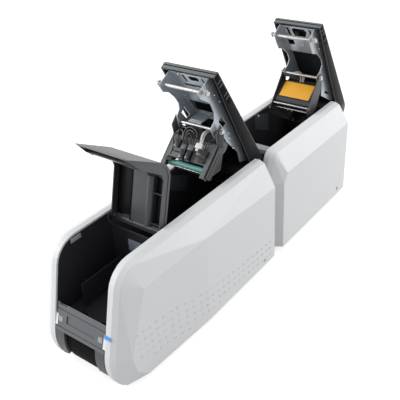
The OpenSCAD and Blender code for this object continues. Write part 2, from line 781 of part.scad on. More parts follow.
module roller_window(y) {
  block(-roller_w / 2 - over, roller_w / 2 + over, y - roller_r - over, y + roller_r + over,
    path_z - deck_t - over, path_z + over);
}

module gate_lever() {
  color(bar_grey) {
    block(-card_w / 2, card_w / 2, bulkhead_y - frame_wall - gap - gate_t, bulkhead_y - frame_wall - gap,
      path_z + slot_h, path_z + gate_h);
    block(card_w / 4, card_w / 2, bulkhead_y - frame_wall - gap - gate_t * 3,
      bulkhead_y - frame_wall - gap - gate_t, path_z + gate_h - gate_t * 2, path_z + gate_h);
  }
}

module top_deck() {
  color("#8d9093")
    side_cut([[deck_start_y, deck_top_z - frame_wall * 3], [deck_start_y, deck_top_z],
      [deck_flat_y, deck_top_z], [deck_end_y, deck_foot_z + frame_wall],
      [deck_end_y, deck_foot_z - frame_wall],
      [deck_end_y - frame_wall, deck_foot_z - frame_wall], [deck_end_y - frame_wall, deck_foot_z],
      [deck_flat_y - frame_wall / 2, deck_top_z - frame_wall],
      [deck_start_y + frame_wall, deck_top_z - frame_wall],
      [deck_start_y + frame_wall, deck_top_z - frame_wall * 3]],
      -frame_in + gap, frame_in * 2 - gap * 2);
}

module card_deck(y0, y1, ys) {
  difference() {
    union() {
      block(-deck_half, deck_half, y0, y1, path_z - deck_t, path_z - gap);
      both_sides()
        block(deck_half - frame_wall, deck_half, y0, y1, path_z - deck_t * 2, path_z - gap);
      both_sides()
        block(deck_half - frame_wall / 2, deck_half, y0, y1, path_z - deck_t, path_z + card_clear);
    }
    for (y = ys)
      roller_window(y);
    shaft_holes(ys, roller_z, roller_shaft_r + gap);
  }
}

module printer_deck() {
  color(core_black)
    card_deck(bulkhead_y + gap, printer_back - frame_wall - gap, [feed_y, platen_y, exit_y]);
}

module laminator_deck() {
  color(core_black)
    card_deck(deck_end_y + frame_wall + gap, core_y - frame_inset - gap, [entry_y, press_y, outlet_y]);
}

module rear_panel() {
  color(core_black)
    difference() {
      block(-frame_in - frame_wall, frame_in + frame_wall, core_y - frame_wall - gap, core_y,
        laminator_under + frame_inset, rear_top_z);
      feed_slot(core_y - frame_wall);
      block(inlet_x - inlet_w / 2 - gap, inlet_x + inlet_w / 2 + gap, core_y - frame_inset - over,
        core_y + over, inlet_z - inlet_h / 2 - gap, inlet_z + inlet_h / 2 + gap);
      block(-inlet_x - port_w / 2 - gap, -inlet_x + port_w / 2 + gap, core_y - frame_inset - over,
        core_y + over, inlet_z - port_w / 2 - gap, inlet_z + port_w / 2 + gap);
      block(-switch_w / 2 - gap, switch_w / 2 + gap, core_y - frame_inset - over, core_y + over,
        inlet_z - switch_h / 2 - gap, inlet_z + switch_h / 2 + gap);
    }
}

module power_inlet() {
  color(rubber_black)
    difference() {
      block(inlet_x - inlet_w / 2, inlet_x + inlet_w / 2, core_y - inlet_deep, core_y,
        inlet_z - inlet_h / 2, inlet_z + inlet_h / 2);
      block(inlet_x - inlet_w / 2 + frame_wall, inlet_x + inlet_w / 2 - frame_wall,
        core_y - inlet_deep + frame_wall, core_y + over,
        inlet_z - inlet_h / 2 + frame_wall, inlet_z + inlet_h / 2 - frame_wall);
    }
}

module power_switch() {
  color(rubber_black)
    difference() {
      side_cut([[core_y - switch_deep, inlet_z - switch_h * 0.3],
        [core_y + over, inlet_z - switch_h / 2 + gap * 2],
        [core_y - over / 2, inlet_z], [core_y - over / 4, inlet_z + switch_h / 2 - gap * 2],
        [core_y - switch_deep, inlet_z + switch_h * 0.3]], -switch_w / 2, switch_w);
      cross_bar(core_y - switch_deep / 2, inlet_z, over + run, -switch_w, switch_w);
    }
}

module data_port() {
  color(steel)
    difference() {
      block(-inlet_x - port_w / 2, -inlet_x + port_w / 2, core_y - inlet_deep, core_y,
        inlet_z - port_w / 2, inlet_z + port_w / 2);
      block(-inlet_x - port_w / 2 + over, -inlet_x + port_w / 2 - over,
        core_y - inlet_deep + over, core_y + over,
        inlet_z - port_w / 2 + over, inlet_z + port_w / 2 - over);
    }
}

module main_board() {
  color("#1f5c3a") {
    board_x = frame_in + frame_wall + board_off;
    block(board_x, board_x + plate_t, board_y0, board_y1, board_z0, board_z1);
    for (s = chip_shares)
      block(board_x + plate_t, board_x + plate_t + board_off, board_y0 + s[0] * (board_y1 - board_y0),
        board_y0 + s[1] * (board_y1 - board_y0), board_z0 + s[2] * (board_z1 - board_z0),
        board_z0 + s[3] * (board_z1 - board_z0));
    for (y = [board_y0 + board_off, board_y1 - board_off])
      for (z = [board_z0 + board_off, board_z1 - board_off])
        cross_bar(y, z, board_off / 2, frame_in + frame_wall + gap, board_x);
  }
}

module drive_motor(y) {
  difference() {
    union() {
      cross_bar(y, roller_z, drive_r, -body_half + panel_wall * 2, -belt_x - pulley_w - gap * 3);
      cross_bar(y, roller_z, drive_r / 2, -belt_x - pulley_w - gap * 3, -belt_x - pulley_w - gap);
      for (s = [-1, 1])
        block(-belt_x - pulley_w - gap * 3 - frame_wall, -frame_in - frame_wall - gap,
          y - frame_wall + s * (pulley_r * 2 + belt_t), y + frame_wall + s * (pulley_r * 2 + belt_t),
          roller_z + pulley_r + belt_t * 3, roller_z + pulley_r + belt_t * 3 + frame_wall);
      block(-belt_x - pulley_w - gap * 3 - frame_wall, -belt_x - pulley_w - gap * 3,
        y - pulley_r * 2 - belt_t - frame_wall, y + pulley_r * 2 + belt_t + frame_wall,
        roller_z - drive_r, roller_z + pulley_r + belt_t * 3 + frame_wall);
    }
    cross_bar(y, roller_z, roller_shaft_r + run, -body_half, 0);
  }
}

module printer_motor() {
  color(zinc)
    drive_motor(motor_y);
}

module laminator_motor() {
  color(zinc)
    drive_motor(lam_motor_y);
}

module belt_loop(y0, y1) {
  translate([-belt_x - pulley_w, 0, 0])
    rotate([90, 0, 90])
      linear_extrude(height = pulley_w)
        difference() {
          belt_area(y0, y1, pulley_r + gap + belt_t);
          belt_area(y0, y1, pulley_r + gap);
        }
}

module belt_area(y0, y1, r) {
  translate([y0, roller_z])
    circle(r = r);
  translate([y1, roller_z])
    circle(r = r);
  translate([y0, roller_z - r])
    square([y1 - y0, r * 2]);
}

module drive_belts() {
  color(rubber_black) {
    belt_loop(pick_y, exit_y);
    belt_loop(entry_y, outlet_y);
  }
}

module pulley(y) {
  cross_bar(y, roller_z, pulley_r, -belt_x - pulley_w, -belt_x);
}

module motor_pulley() {
  color(steel) {
    pulley(motor_y);
    cross_bar(motor_y, roller_z, roller_shaft_r, -belt_x - pulley_w * 3, -frame_in);
  }
}

module laminator_pulley() {
  color(steel) {
    pulley(lam_motor_y);
    cross_bar(lam_motor_y, roller_z, roller_shaft_r, -belt_x - pulley_w * 3, -frame_in);
  }
}

// Sleeve, shaft and pulley of one transport roller
module roller(y, r) {
  color(rubber_black)
    cross_bar(y, roller_z, r, -roller_w / 2, roller_w / 2);
  color(steel) {
    cross_bar(y, roller_z, roller_shaft_r, -belt_x - pulley_w, frame_in + frame_wall + over);
    pulley(y);
  }
}

module pick_roller() {
  roller(pick_y, roller_r);
}

module feed_roller() {
  roller(feed_y, roller_r);
}

module platen_roller() {
  roller(platen_y, roller_r);
}

module exit_roller() {
  roller(exit_y, roller_r);
}

module entry_roller() {
  roller(entry_y, roller_r);
}

module press_roller() {
  roller(press_y, roller_r);
}

module outlet_roller() {
  roller(outlet_y, roller_r);
}

module cleaning_roller() {
  color("#7fb6d6") {
    cross_bar(feed_y, path_z + gap * 3 + cleaner_r, cleaner_r, -roller_w / 2, roller_w / 2);
    cross_bar(feed_y, path_z + gap * 3 + cleaner_r, roller_shaft_r, -frame_in + gap, frame_in - gap);
  }
}

module hinge_pins() {
  color(steel)
    both_sides() {
      cross_bar(hinge_y, cover_hinge_z, pin_r, cover_half - cover_wall - over, frame_in + frame_wall + over);
      cross_bar(lam_hinge_y, laminator_hinge_z, pin_r, lam_cover_half - cover_wall - over,
        frame_in + frame_wall + over);
      cross_bar(hopper_y, hopper_hinge_z, pin_r * small_pin_share, hopper_half - cover_wall - over,
        frame_in + frame_wall + over);
    }
}

// Card hopper cover, closed, with a rim band, an inner lip and a raised inner panel
module hopper_form() {
  foot = spread(hopper_foot_shares, hopper_y, -hopper_l, path_z, cover_drop);
  difference() {
    side_cut(concat(hopper_edge(0), foot, [[hopper_y, cover_top - hopper_flange]]),
      -hopper_half, hopper_cover_w);
    side_cut(concat(hopper_edge(cover_wall), [[foot[0][0], hopper_tip_z - over], [foot[4][0], path_z],
      [hopper_y + hopper_flange * 2, path_z]]), -hopper_half + cover_wall, hopper_cover_w - cover_wall * 2);
    both_sides()
      side_cut(concat([[hopper_y + hopper_flange, cover_top - hopper_band]], hopper_edge(hopper_band),
        [[foot[0][0], hopper_tip_z - over], [foot[4][0], path_z], [hopper_y + hopper_flange, path_z]]),
        hopper_half - over * 0.8, over * 2);
    cross_bar(hopper_y, hopper_hinge_z, pin_r * small_pin_share + run, -body_half, body_half);
  }
  side_cut(spread(hopper_lip_shares, hopper_y, -hopper_l, path_z, cover_drop),
    -hopper_half + cover_wall - gap / 2, hopper_cover_w - cover_wall * 2 + gap);
  block(hopper_half * hopper_panel_shares[0], hopper_half * hopper_panel_shares[1],
    hopper_y - hopper_l * hopper_round_share, hopper_y,
    cover_top - cover_wall * 2, cover_top - cover_wall + gap / 2);
  translate([hopper_half * 0.43, hopper_y - hopper_l * hopper_round_share,
    cover_top - hopper_flange / 2 - gap])
    rotate([-90, 0, 0])
      cylinder(r = hopper_flange / 2, h = hopper_l * hopper_round_share - pin_r);
  for (s = hopper_rib_shares)
    block(hopper_half * 0.55, hopper_half - cover_wall + gap / 2, hopper_y - hopper_l * s - over,
      hopper_y - hopper_l * s, cover_top - hopper_flange * 0.7, cover_top - cover_wall + gap / 2);
}

module hopper_cover() {
  color("#4a4b50")
    opened(hopper_y, hopper_hinge_z, hopper_open_angle)
      hopper_form();
}

// Printer cover, closed
module cover_form() {
  round_r = cover_top - cover_hinge_z;
  edge = concat([[tip_y, cover_top - cover_lip], [tip_y, cover_top - cover_wall],
    [tip_y + cover_wall, cover_top]], arc(hinge_y, cover_hinge_z, round_r, 90, -40, corner_steps * 2),
    [[hinge_y - round_r * 0.3, cover_hinge_z - round_r * 0.3],
      [hinge_y - round_r, cover_hinge_z + cover_wall]]);
  difference() {
    side_cut(edge, -cover_half, cover_w);
    side_cut(concat([[tip_y + cover_wall, path_z], [tip_y + cover_wall, cover_top - cover_wall]],
      arc(hinge_y, cover_hinge_z, round_r - cover_wall, 90, -38, corner_steps * 2),
      [[hinge_y + round_r, path_z]]), -cover_half + cover_wall, cover_w - cover_wall * 2);
    block(-body_half, body_half, tip_y - over, tip_y + tip_groove,
      cover_top - cover_wall - tip_groove * 1.5, cover_top - cover_wall - tip_groove * 0.5);
    cross_bar(hinge_y, cover_hinge_z, pin_r + run, -body_half, body_half);
    for (s = window_shares)
      block(cover_half - cover_wall - over, cover_half + over, tip_y + s[0] * cover_l,
        tip_y + s[1] * cover_l, cover_top - cover_lip * 0.8, cover_top - cover_wall * 1.4);
  }
  for (x = [-1, 1])
    block(x * cover_half * 0.86 - over, x * cover_half * 0.86 + over, tip_y + cover_lip, hinge_y,
      cover_top - cover_wall * 2, cover_top - cover_wall + gap / 2);
}

module printer_cover() {
  color(cover_grey)
    opened(hinge_y, cover_hinge_z, cover_open_angle)
      cover_form();
}

module shown1(shares, x0, thick) {
  side_cut(spread(shares, tip_y, cover_l, path_z, cover_drop), x0, thick);
}

module shown2(shares, x0, thick) {
  side_cut(spread(shares, lam_tip_y, lam_reach, path_z, cover_drop), x0, thick);
}

// Cut-outs of a bracket web
module web_cuts(cuts, y0, ly) {
  for (s = cuts)
    translate([0, 0, web_z - plate_t - over])
      linear_extrude(height = plate_t + over * 2)
        polygon(spread(s, -plate_x, plate_x * 2, y0, ly));
}

module cover_bracket() {
  color(zinc)
    opened(hinge_y, cover_hinge_z, cover_open_angle)
      difference() {
        union() {
          shown1(bracket_right_shares, plate_x, plate_t);
          shown1(bracket_left_shares, -plate_x - plate_t, plate_t);
          block(-plate_x - plate_t, plate_x + plate_t, web_y, web_y + web_l, web_z - plate_t, web_z);
          both_sides()
            block(plate_x, cover_half * 0.86 - over * 2, latch_y + web_l / 2, latch_y + web_l,
              flange_z - plate_t, flange_z);
        }
        web_cuts(web_cut_shares, web_y, web_l);
        shown1(diamond_shares, -plate_x - plate_t - over, plate_x * 2 + plate_t * 2 + over * 2);
        cross_bar(latch_y, latch_z, shaft_r + run, -body_half, body_half);
        cross_bar(pivot_y, pivot_z, shaft_r + run, -body_half, body_half);
      }
}

// Bent tongue under the web of the printer cover
module cross_plate() {
  color(zinc)
    opened(hinge_y, cover_hinge_z, cover_open_angle)
      shown1(tongue_shares, plate_x * tongue_x_shares[0],
        plate_x * (tongue_x_shares[1] - tongue_x_shares[0]));
}

module latch_shaft() {
  color(steel)
    opened(hinge_y, cover_hinge_z, cover_open_angle) {
      cross_bar(latch_y, latch_z, shaft_r, -latch_half, latch_half);
      both_sides()
        cross_bar(latch_y, latch_z, shaft_r * 1.5, plate_x + plate_t + gap,
          plate_x + plate_t + gap + plate_t);
    }
}

module pivot_shaft() {
  color(steel)
    opened(hinge_y, cover_hinge_z, cover_open_angle)
      cross_bar(pivot_y, pivot_z, shaft_r, -head_x - plate_t * 2, head_x + plate_t * 2);
}

module head_carrier() {
  color("#2b2c2f")
    opened(hinge_y, cover_hinge_z, cover_open_angle)
      difference() {
        union() {
          both_sides()
            shown1(carrier_shares, head_x, plate_t);
          difference() {
            shown1(face_shares, -head_x - gap / 2, head_x * 2 + gap);
            block(-plate_x - gap, plate_x + gap, tip_y, hinge_y, 0,
              path_z + face_cut_share * cover_drop);
          }
          block(-head_x, head_x, guide_y - plate_t * 2,
            tip_y + head_shares[0][0] * cover_l - gap, head_web_z, head_web_z + web_h);
        }
        cross_bar(pivot_y, pivot_z, shaft_r + run, -body_half, body_half);
        cross_bar(guide_y, guide_z, over + run, -body_half, body_half);
        cross_bar(rod_y, rod_z, over + run, -body_half, body_half);
      }
}

module print_head() {
  color(rubber_black)
    opened(hinge_y, cover_hinge_z, cover_open_angle)
      shown1(head_shares, -card_w / 2 + gap, card_w - gap * 2);
}

module guide_roller() {
  color(teal)
    opened(hinge_y, cover_hinge_z, cover_open_angle) {
      cross_bar(guide_y, guide_z, guide_r, -plate_x, plate_x);
      cross_bar(guide_y, guide_z, over, -head_x - plate_t, head_x + plate_t);
    }
}

module guide_bar() {
  color(steel)
    opened(hinge_y, cover_hinge_z, cover_open_angle)
      cross_bar(rod_y, rod_z, over, -head_x - plate_t, head_x + plate_t);
}

module ribbon_motor() {
  color(rubber_black)
    opened(hinge_y, cover_hinge_z, cover_open_angle) {
      cross_bar(ribbon_y, ribbon_z, motor_r, plate_x - motor_r * 1.4, plate_x - gap);
      cross_bar(ribbon_y, ribbon_z, motor_r / 3, plate_x - gap, plate_x + plate_t * 1.5);
    }
}

module cable_duct() {
  color(rubber_black)
    opened(hinge_y, cover_hinge_z, cover_open_angle) {
      shown1(duct_shares, head_x + plate_t + gap, plate_t);
      for (i = [1 : duct_ribs])
        shown1([for (p = [[0, 0], [1, 0], [1, 1], [0, 1]])
          [duct_shares[0][0] + 0.02 + p[0] * 0.045 - i * 0.003,
            duct_shares[0][1] + (i + p[1] * 0.4) / (duct_ribs + 2) * 0.5]],
          head_x + plate_t * 2 + gap / 2, plate_t / 2);
    }
}

module head_cables() {
  color(rubber_black)
    opened(hinge_y, cover_hinge_z, cover_open_angle)
      for (x = cable_shares)
        translate([x * plate_x, guide_y + shaft_r, head_web_z + web_h + gap + over + cable_r])
          rotate([0, 90, 0])
            rotate_extrude(angle = 200)
              translate([cable_r, 0])
                circle(r = over, $fn = 16);
}

// Laminator cover, closed
module laminator_cover_form() {
  edge = concat([[lam_tip_y, cover_top - cover_lip], [lam_tip_y, cover_top - cover_wall],
    [lam_tip_y + cover_wall, cover_top]],
    arc(core_y - skirt_r + skirt_out, cover_top - skirt_r, skirt_r, 90, 0, corner_steps),
    [[core_y + skirt_out, skirt_foot], [lam_hinge_y, laminator_hinge_z - pin_r * 3],
      [lam_hinge_y - pin_r * 4, laminator_hinge_z], [rear_y - pin_r * 2, skirt_top],
      [rear_y - skirt_r * 2, skirt_top]]);
  difference() {
    side_cut(edge, -lam_cover_half, laminator_cover_w);
    side_cut(concat([[lam_tip_y + cover_wall, path_z], [lam_tip_y + cover_wall, cover_top - cover_wall]],
      arc(core_y - skirt_r + skirt_out, cover_top - skirt_r, skirt_r - cover_wall, 90, 0, corner_steps),
      [[core_y + skirt_out - cover_wall, path_z]]),
      -lam_cover_half + cover_wall, laminator_cover_w - cover_wall * 2);
    block(-body_half, body_half, lam_tip_y - over, lam_tip_y + tip_groove,
      cover_top - cover_wall - tip_groove * 1.5, cover_top - cover_wall - tip_groove * 0.5);
    cross_bar(lam_hinge_y, laminator_hinge_z, pin_r + run, -body_half, body_half);
    for (s = window_shares)
      block(lam_cover_half - cover_wall - over, lam_cover_half + over, lam_tip_y + s[0] * cover_l,
        lam_tip_y + s[1] * cover_l, cover_top - cover_lip * 0.8, cover_top - cover_wall * 1.4);
  }
  for (x = [-1, 1])
    block(x * lam_cover_half * 0.86 - over, x * lam_cover_half * 0.86 + over, lam_tip_y + cover_lip, rear_y,
      cover_top - cover_wall * 2, cover_top - cover_wall + gap / 2);
}

module laminator_cover() {
  color(cover_grey)
    opened(lam_hinge_y, laminator_hinge_z, laminator_open_angle)
      laminator_cover_form();
}

module laminator_bracket() {
  color(zinc)
    opened(lam_hinge_y, laminator_hinge_z, laminator_open_angle)
      difference() {
        union() {
          both_sides()
            shown2(lam_bracket_shares, plate_x, plate_t);
          block(-plate_x - plate_t, plate_x + plate_t, lam_web_y, lam_web_y + lam_web_l,
            web_z - plate_t, web_z);
        }
        web_cuts(lam_web_cut_shares, lam_web_y, lam_web_l);
        shown2(lam_hole_shares, -plate_x - plate_t - over, plate_x * 2 + plate_t * 2 + over * 2);
        cross_bar(lam_latch_y, lam_latch_z, shaft_r + run, -body_half, body_half);
        cross_bar(lam_pivot_y, lam_pivot_z, shaft_r + run, -body_half, body_half);
      }
}

module laminator_latch() {
  color(steel)
    opened(lam_hinge_y, laminator_hinge_z, laminator_open_angle) {
      cross_bar(lam_latch_y, lam_latch_z, shaft_r, -latch_half, latch_half);
      both_sides()
        cross_bar(lam_latch_y, lam_latch_z, shaft_r * 1.5, plate_x + plate_t + gap,
          plate_x + plate_t * 2 + gap);
    }
}

module laminator_pivot() {
  color(steel)
    opened(lam_hinge_y, laminator_hinge_z, laminator_open_angle)
      cross_bar(lam_pivot_y, lam_pivot_z, shaft_r, -carrier_x - plate_t * 2, carrier_x + plate_t * 2);
}

module heater_housing() {
  color(rubber_black)
    opened(lam_hinge_y, laminator_hinge_z, laminator_open_angle)
      difference() {
        union() {
          both_sides()
            shown2(heater_shares, carrier_x, plate_t);
          shown2(heater_block_shares, -carrier_x + gap / 2, carrier_x * 2 - gap);
        }
        cross_bar(lam_pivot_y, lam_pivot_z, shaft_r + run, -body_half, body_half);
        cross_bar(heat_bar_y, heat_bar_z, over * 2 + run, -body_half, body_half);
        cross_bar(heat_rod_y, heat_rod_z, over * 1.5 + run, -body_half, body_half);
        for (x = [-1, 0, 1])
          block(x * plate_x * 0.6 - plate_x * 0.2, x * plate_x * 0.6 + plate_x * 0.2,
            heat_bar_y + heater_slot, heat_bar_y + heater_slot * 2, heat_rod_z, cover_top);
      }
}

module heater_bars() {
  color(steel)
    opened(lam_hinge_y, laminator_hinge_z, laminator_open_angle) {
      cross_bar(heat_bar_y, heat_bar_z, over * 2, -carrier_x - plate_t, carrier_x + plate_t);
      cross_bar(heat_rod_y, heat_rod_z, over * 1.5, -carrier_x - plate_t, carrier_x + plate_t);
    }
}

module heater_wires() {
  color("#c9c3bd")
    opened(lam_hinge_y, laminator_hinge_z, laminator_open_angle)
      for (x = [-0.22, -0.1])
        translate([x * plate_x, lam_tip_y + heater_block_shares[0][0] * lam_reach + over,
          path_z + heater_block_shares[0][1] * cover_drop + gap + over * 0.7 + wire_r])
          rotate([0, 90, 0])
            rotate_extrude(angle = 150)
              translate([wire_r, 0])
                circle(r = over * 0.7, $fn = 16);
}

printer_frame();
laminator_frame();
base_plates();
rubber_feet();
printer_panel_right();
printer_panel_left();
laminator_panel_right();
laminator_panel_left();
panel_screws();
front_bar();
front_legs();
front_skirt();
light_strips();
film_tab();
button_left();
button_right();
hopper_tray();
gate_lever();
top_deck();
printer_deck();
laminator_deck();
rear_panel();
power_inlet();
power_switch();
data_port();
main_board();
printer_motor();
laminator_motor();
drive_belts();
motor_pulley();
laminator_pulley();
hinge_pins();
pick_roller();
feed_roller();
platen_roller();
exit_roller();
entry_roller();
press_roller();
outlet_roller();
cleaning_roller();
hopper_cover();
printer_cover();
cover_bracket();
cross_plate();
latch_shaft();
pivot_shaft();
head_carrier();
print_head();
guide_roller();
guide_bar();
ribbon_motor();
cable_duct();
head_cables();
laminator_cover();
laminator_bracket();
laminator_latch();
laminator_pivot();
heater_housing();
heater_bars();
heater_wires();
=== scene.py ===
import json, math
import bpy, bmesh
from mathutils import Vector, Matrix
from mathutils.bvhtree import BVHTree


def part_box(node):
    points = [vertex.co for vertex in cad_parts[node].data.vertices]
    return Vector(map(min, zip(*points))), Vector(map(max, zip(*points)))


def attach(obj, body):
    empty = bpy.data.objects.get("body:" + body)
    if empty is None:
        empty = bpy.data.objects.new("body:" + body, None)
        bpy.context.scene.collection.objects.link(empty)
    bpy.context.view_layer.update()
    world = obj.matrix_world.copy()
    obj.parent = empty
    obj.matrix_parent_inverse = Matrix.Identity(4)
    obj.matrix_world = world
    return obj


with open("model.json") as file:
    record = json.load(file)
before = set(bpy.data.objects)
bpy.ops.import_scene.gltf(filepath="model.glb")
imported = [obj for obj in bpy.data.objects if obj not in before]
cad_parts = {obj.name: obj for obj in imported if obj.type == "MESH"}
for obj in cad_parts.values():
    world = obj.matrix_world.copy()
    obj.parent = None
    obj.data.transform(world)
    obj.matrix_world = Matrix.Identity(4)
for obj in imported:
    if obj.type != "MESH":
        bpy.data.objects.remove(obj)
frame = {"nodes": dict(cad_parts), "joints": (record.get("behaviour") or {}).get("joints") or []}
nodes = frame["nodes"]
joints = {j["name"]: j for j in frame["joints"]}
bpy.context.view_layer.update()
print("frame:", len(nodes), "nodes")


def linear(hexCode):
    parts = [int(hexCode[i:i + 2], 16) / 255 for i in (0, 2, 4)]
    return tuple(c / 12.92 if c < 0.04045 else ((c + 0.055) / 1.055) ** 2.4 for c in parts) + (1.0,)


# Shader groups: each gives only values that change over the surface
def newGroup(name, inputs, outputs):
    tree = bpy.data.node_groups.new(name, "ShaderNodeTree")
    for label, kind, value in inputs:
        item = tree.interface.new_socket(name=label, in_out="INPUT", socket_type=kind)
        item.default_value = value
    for label, kind in outputs:
        tree.interface.new_socket(name=label, in_out="OUTPUT", socket_type=kind)
    start = tree.nodes.new("NodeGroupInput")
    end = tree.nodes.new("NodeGroupOutput")
    return tree, start, end


def link(tree, source, target):
    tree.links.new(source, target)


def mathNode(tree, kind, a, b=None):
    node = tree.nodes.new("ShaderNodeMath")
    node.operation = kind
    for socket, value in zip(node.inputs, (a, b)):
        if value is None:
            continue
        if isinstance(value, (int, float)):
            socket.default_value = value
        else:
            link(tree, value, socket)
    return node.outputs[0]


# Colour of the group times gain
def tintBy(tree, start, end, gain):
    tint = tree.nodes.new("ShaderNodeVectorMath")
    tint.operation = "SCALE"
    link(tree, start.outputs["Colour"], tint.inputs[0])
    link(tree, gain, tint.inputs["Scale"])
    link(tree, tint.outputs[0], end.inputs["Colour"])


noiseMiddle = 0.5
mouldedLook = {"grainDetail": 2, "cloudScale": 9, "cloudDetail": 4, "polish": 0.25}
rolledLook = {"brushScale": 420, "brushDetail": 3, "brushStretch": (0.08, 1.0, 1.0), "brushShade": 0.16}


def makeMouldedGrain():
    tree, start, end = newGroup(
        "mouldedGrain",
        [("Colour", "NodeSocketColor", (0.5, 0.5, 0.5, 1)), ("Shade", "NodeSocketFloat", 0.06),
         ("Grain", "NodeSocketFloat", 1500.0), ("Roughness", "NodeSocketFloat", 0.5)],
        [("Colour", "NodeSocketColor"), ("Roughness", "NodeSocketFloat"), ("Height", "NodeSocketFloat")])
    place = tree.nodes.new("ShaderNodeTexCoord")
    grain = tree.nodes.new("ShaderNodeTexNoise")
    grain.inputs["Detail"].default_value = mouldedLook["grainDetail"]
    link(tree, place.outputs["Object"], grain.inputs["Vector"])
    link(tree, start.outputs["Grain"], grain.inputs["Scale"])
    cloud = tree.nodes.new("ShaderNodeTexNoise")
    cloud.inputs["Scale"].default_value = mouldedLook["cloudScale"]
    cloud.inputs["Detail"].default_value = mouldedLook["cloudDetail"]
    link(tree, place.outputs["Object"], cloud.inputs["Vector"])
    swing = mathNode(tree, "SUBTRACT", cloud.outputs["Fac"], noiseMiddle)
    amount = mathNode(tree, "MULTIPLY", swing, start.outputs["Shade"])
    tintBy(tree, start, end, mathNode(tree, "ADD", amount, 1.0))
    polish = mathNode(tree, "MULTIPLY", swing, mouldedLook["polish"])
    link(tree, mathNode(tree, "ADD", start.outputs["Roughness"], polish), end.inputs["Roughness"])
    link(tree, grain.outputs["Fac"], end.inputs["Height"])
    return tree


def makeRolledSheet():
    tree, start, end = newGroup(
        "rolledSheet",
        [("Colour", "NodeSocketColor", (0.6, 0.6, 0.6, 1)), ("Spangle", "NodeSocketFloat", 0.12),
         ("Size", "NodeSocketFloat", 160.0), ("Roughness", "NodeSocketFloat", 0.3)],
        [("Colour", "NodeSocketColor"), ("Roughness", "NodeSocketFloat"), ("Height", "NodeSocketFloat")])
    place = tree.nodes.new("ShaderNodeTexCoord")
    crystal = tree.nodes.new("ShaderNodeTexVoronoi")
    link(tree, place.outputs["Object"], crystal.inputs["Vector"])
    link(tree, start.outputs["Size"], crystal.inputs["Scale"])
    brush = tree.nodes.new("ShaderNodeTexNoise")
    brush.inputs["Scale"].default_value = rolledLook["brushScale"]
    brush.inputs["Detail"].default_value = rolledLook["brushDetail"]
    stretch = tree.nodes.new("ShaderNodeMapping")
    stretch.inputs["Scale"].default_value = rolledLook["brushStretch"]
    link(tree, place.outputs["Object"], stretch.inputs["Vector"])
    link(tree, stretch.outputs[0], brush.inputs["Vector"])
    bright = tree.nodes.new("ShaderNodeSeparateColor")
    link(tree, crystal.outputs["Color"], bright.inputs[0])
    swing = mathNode(tree, "SUBTRACT", bright.outputs[0], noiseMiddle)
    amount = mathNode(tree, "MULTIPLY", swing, start.outputs["Spangle"])
    fine = mathNode(tree, "MULTIPLY", mathNode(tree, "SUBTRACT", brush.outputs["Fac"], noiseMiddle),
                    rolledLook["brushShade"])
    tintBy(tree, start, end, mathNode(tree, "ADD", mathNode(tree, "ADD", amount, fine), 1.0))
    link(tree, mathNode(tree, "ADD", start.outputs["Roughness"], amount), end.inputs["Roughness"])
    link(tree, brush.outputs["Fac"], end.inputs["Height"])
    return tree


mouldedGrain = makeMouldedGrain()
rolledSheet = makeRolledSheet()


# The second entry is the colour of the painted edge highlight
edgeLook = {"samples": 4, "paintedHighlight": (0.95, 0.96, 0.97, 1)}


# Edges are softened by the Bevel node, the grain is laid on top, and edges can be lightened towards
# near-white as a painted highlight.
# values are the group's inputs and fixed the shader's own
def finish(name, group, colour, bump, bumpSize=0.0002, edge=0.0004, glow=0.0, fixed=None, **values):
    mat = bpy.data.materials.new(name)
    mat.use_nodes = True
    tree = mat.node_tree
    shader = tree.nodes["Principled BSDF"]
    inner = tree.nodes.new("ShaderNodeGroup")
    inner.node_tree = group
    inner.inputs["Colour"].default_value = linear(colour)
    for key, value in values.items():
        inner.inputs[key].default_value = value
    link(tree, inner.outputs["Colour"], shader.inputs["Base Color"])
    link(tree, inner.outputs["Roughness"], shader.inputs["Roughness"])
    relief = tree.nodes.new("ShaderNodeBump")
    relief.inputs["Strength"].default_value = bump
    relief.inputs["Distance"].default_value = bumpSize
    link(tree, inner.outputs["Height"], relief.inputs["Height"])
    if edge:
        rounded = tree.nodes.new("ShaderNodeBevel")
        rounded.samples = edgeLook["samples"]
        rounded.inputs["Radius"].default_value = edge
        link(tree, rounded.outputs["Normal"], relief.inputs["Normal"])
    # Painted highlight: the colour is lightened towards near-white where the softened normal turns from the
    # flat one
    if edge and glow:
        flat = tree.nodes.new("ShaderNodeNewGeometry")
        same = tree.nodes.new("ShaderNodeVectorMath")
        same.operation = "DOT_PRODUCT"
        link(tree, flat.outputs["Normal"], same.inputs[0])
        link(tree, rounded.outputs["Normal"], same.inputs[1])
        paintedHighlight = mathNode(tree, "MULTIPLY", mathNode(tree, "SUBTRACT", 1.0, same.outputs["Value"]), glow)
        paintedHighlight.node.use_clamp = True
        lighter = tree.nodes.new("ShaderNodeMix")
        lighter.data_type = "RGBA"
        link(tree, paintedHighlight, lighter.inputs["Factor"])
        # Sockets 6 and 7 and output 2 are the Mix node's colours
        link(tree, inner.outputs["Colour"], lighter.inputs[6])
        lighter.inputs[7].default_value = edgeLook["paintedHighlight"]
        link(tree, lighter.outputs[2], shader.inputs["Base Color"])
    link(tree, relief.outputs["Normal"], shader.inputs["Normal"])
    for key, value in (fixed or {}).items():
        shader.inputs[key].default_value = value
    return mat


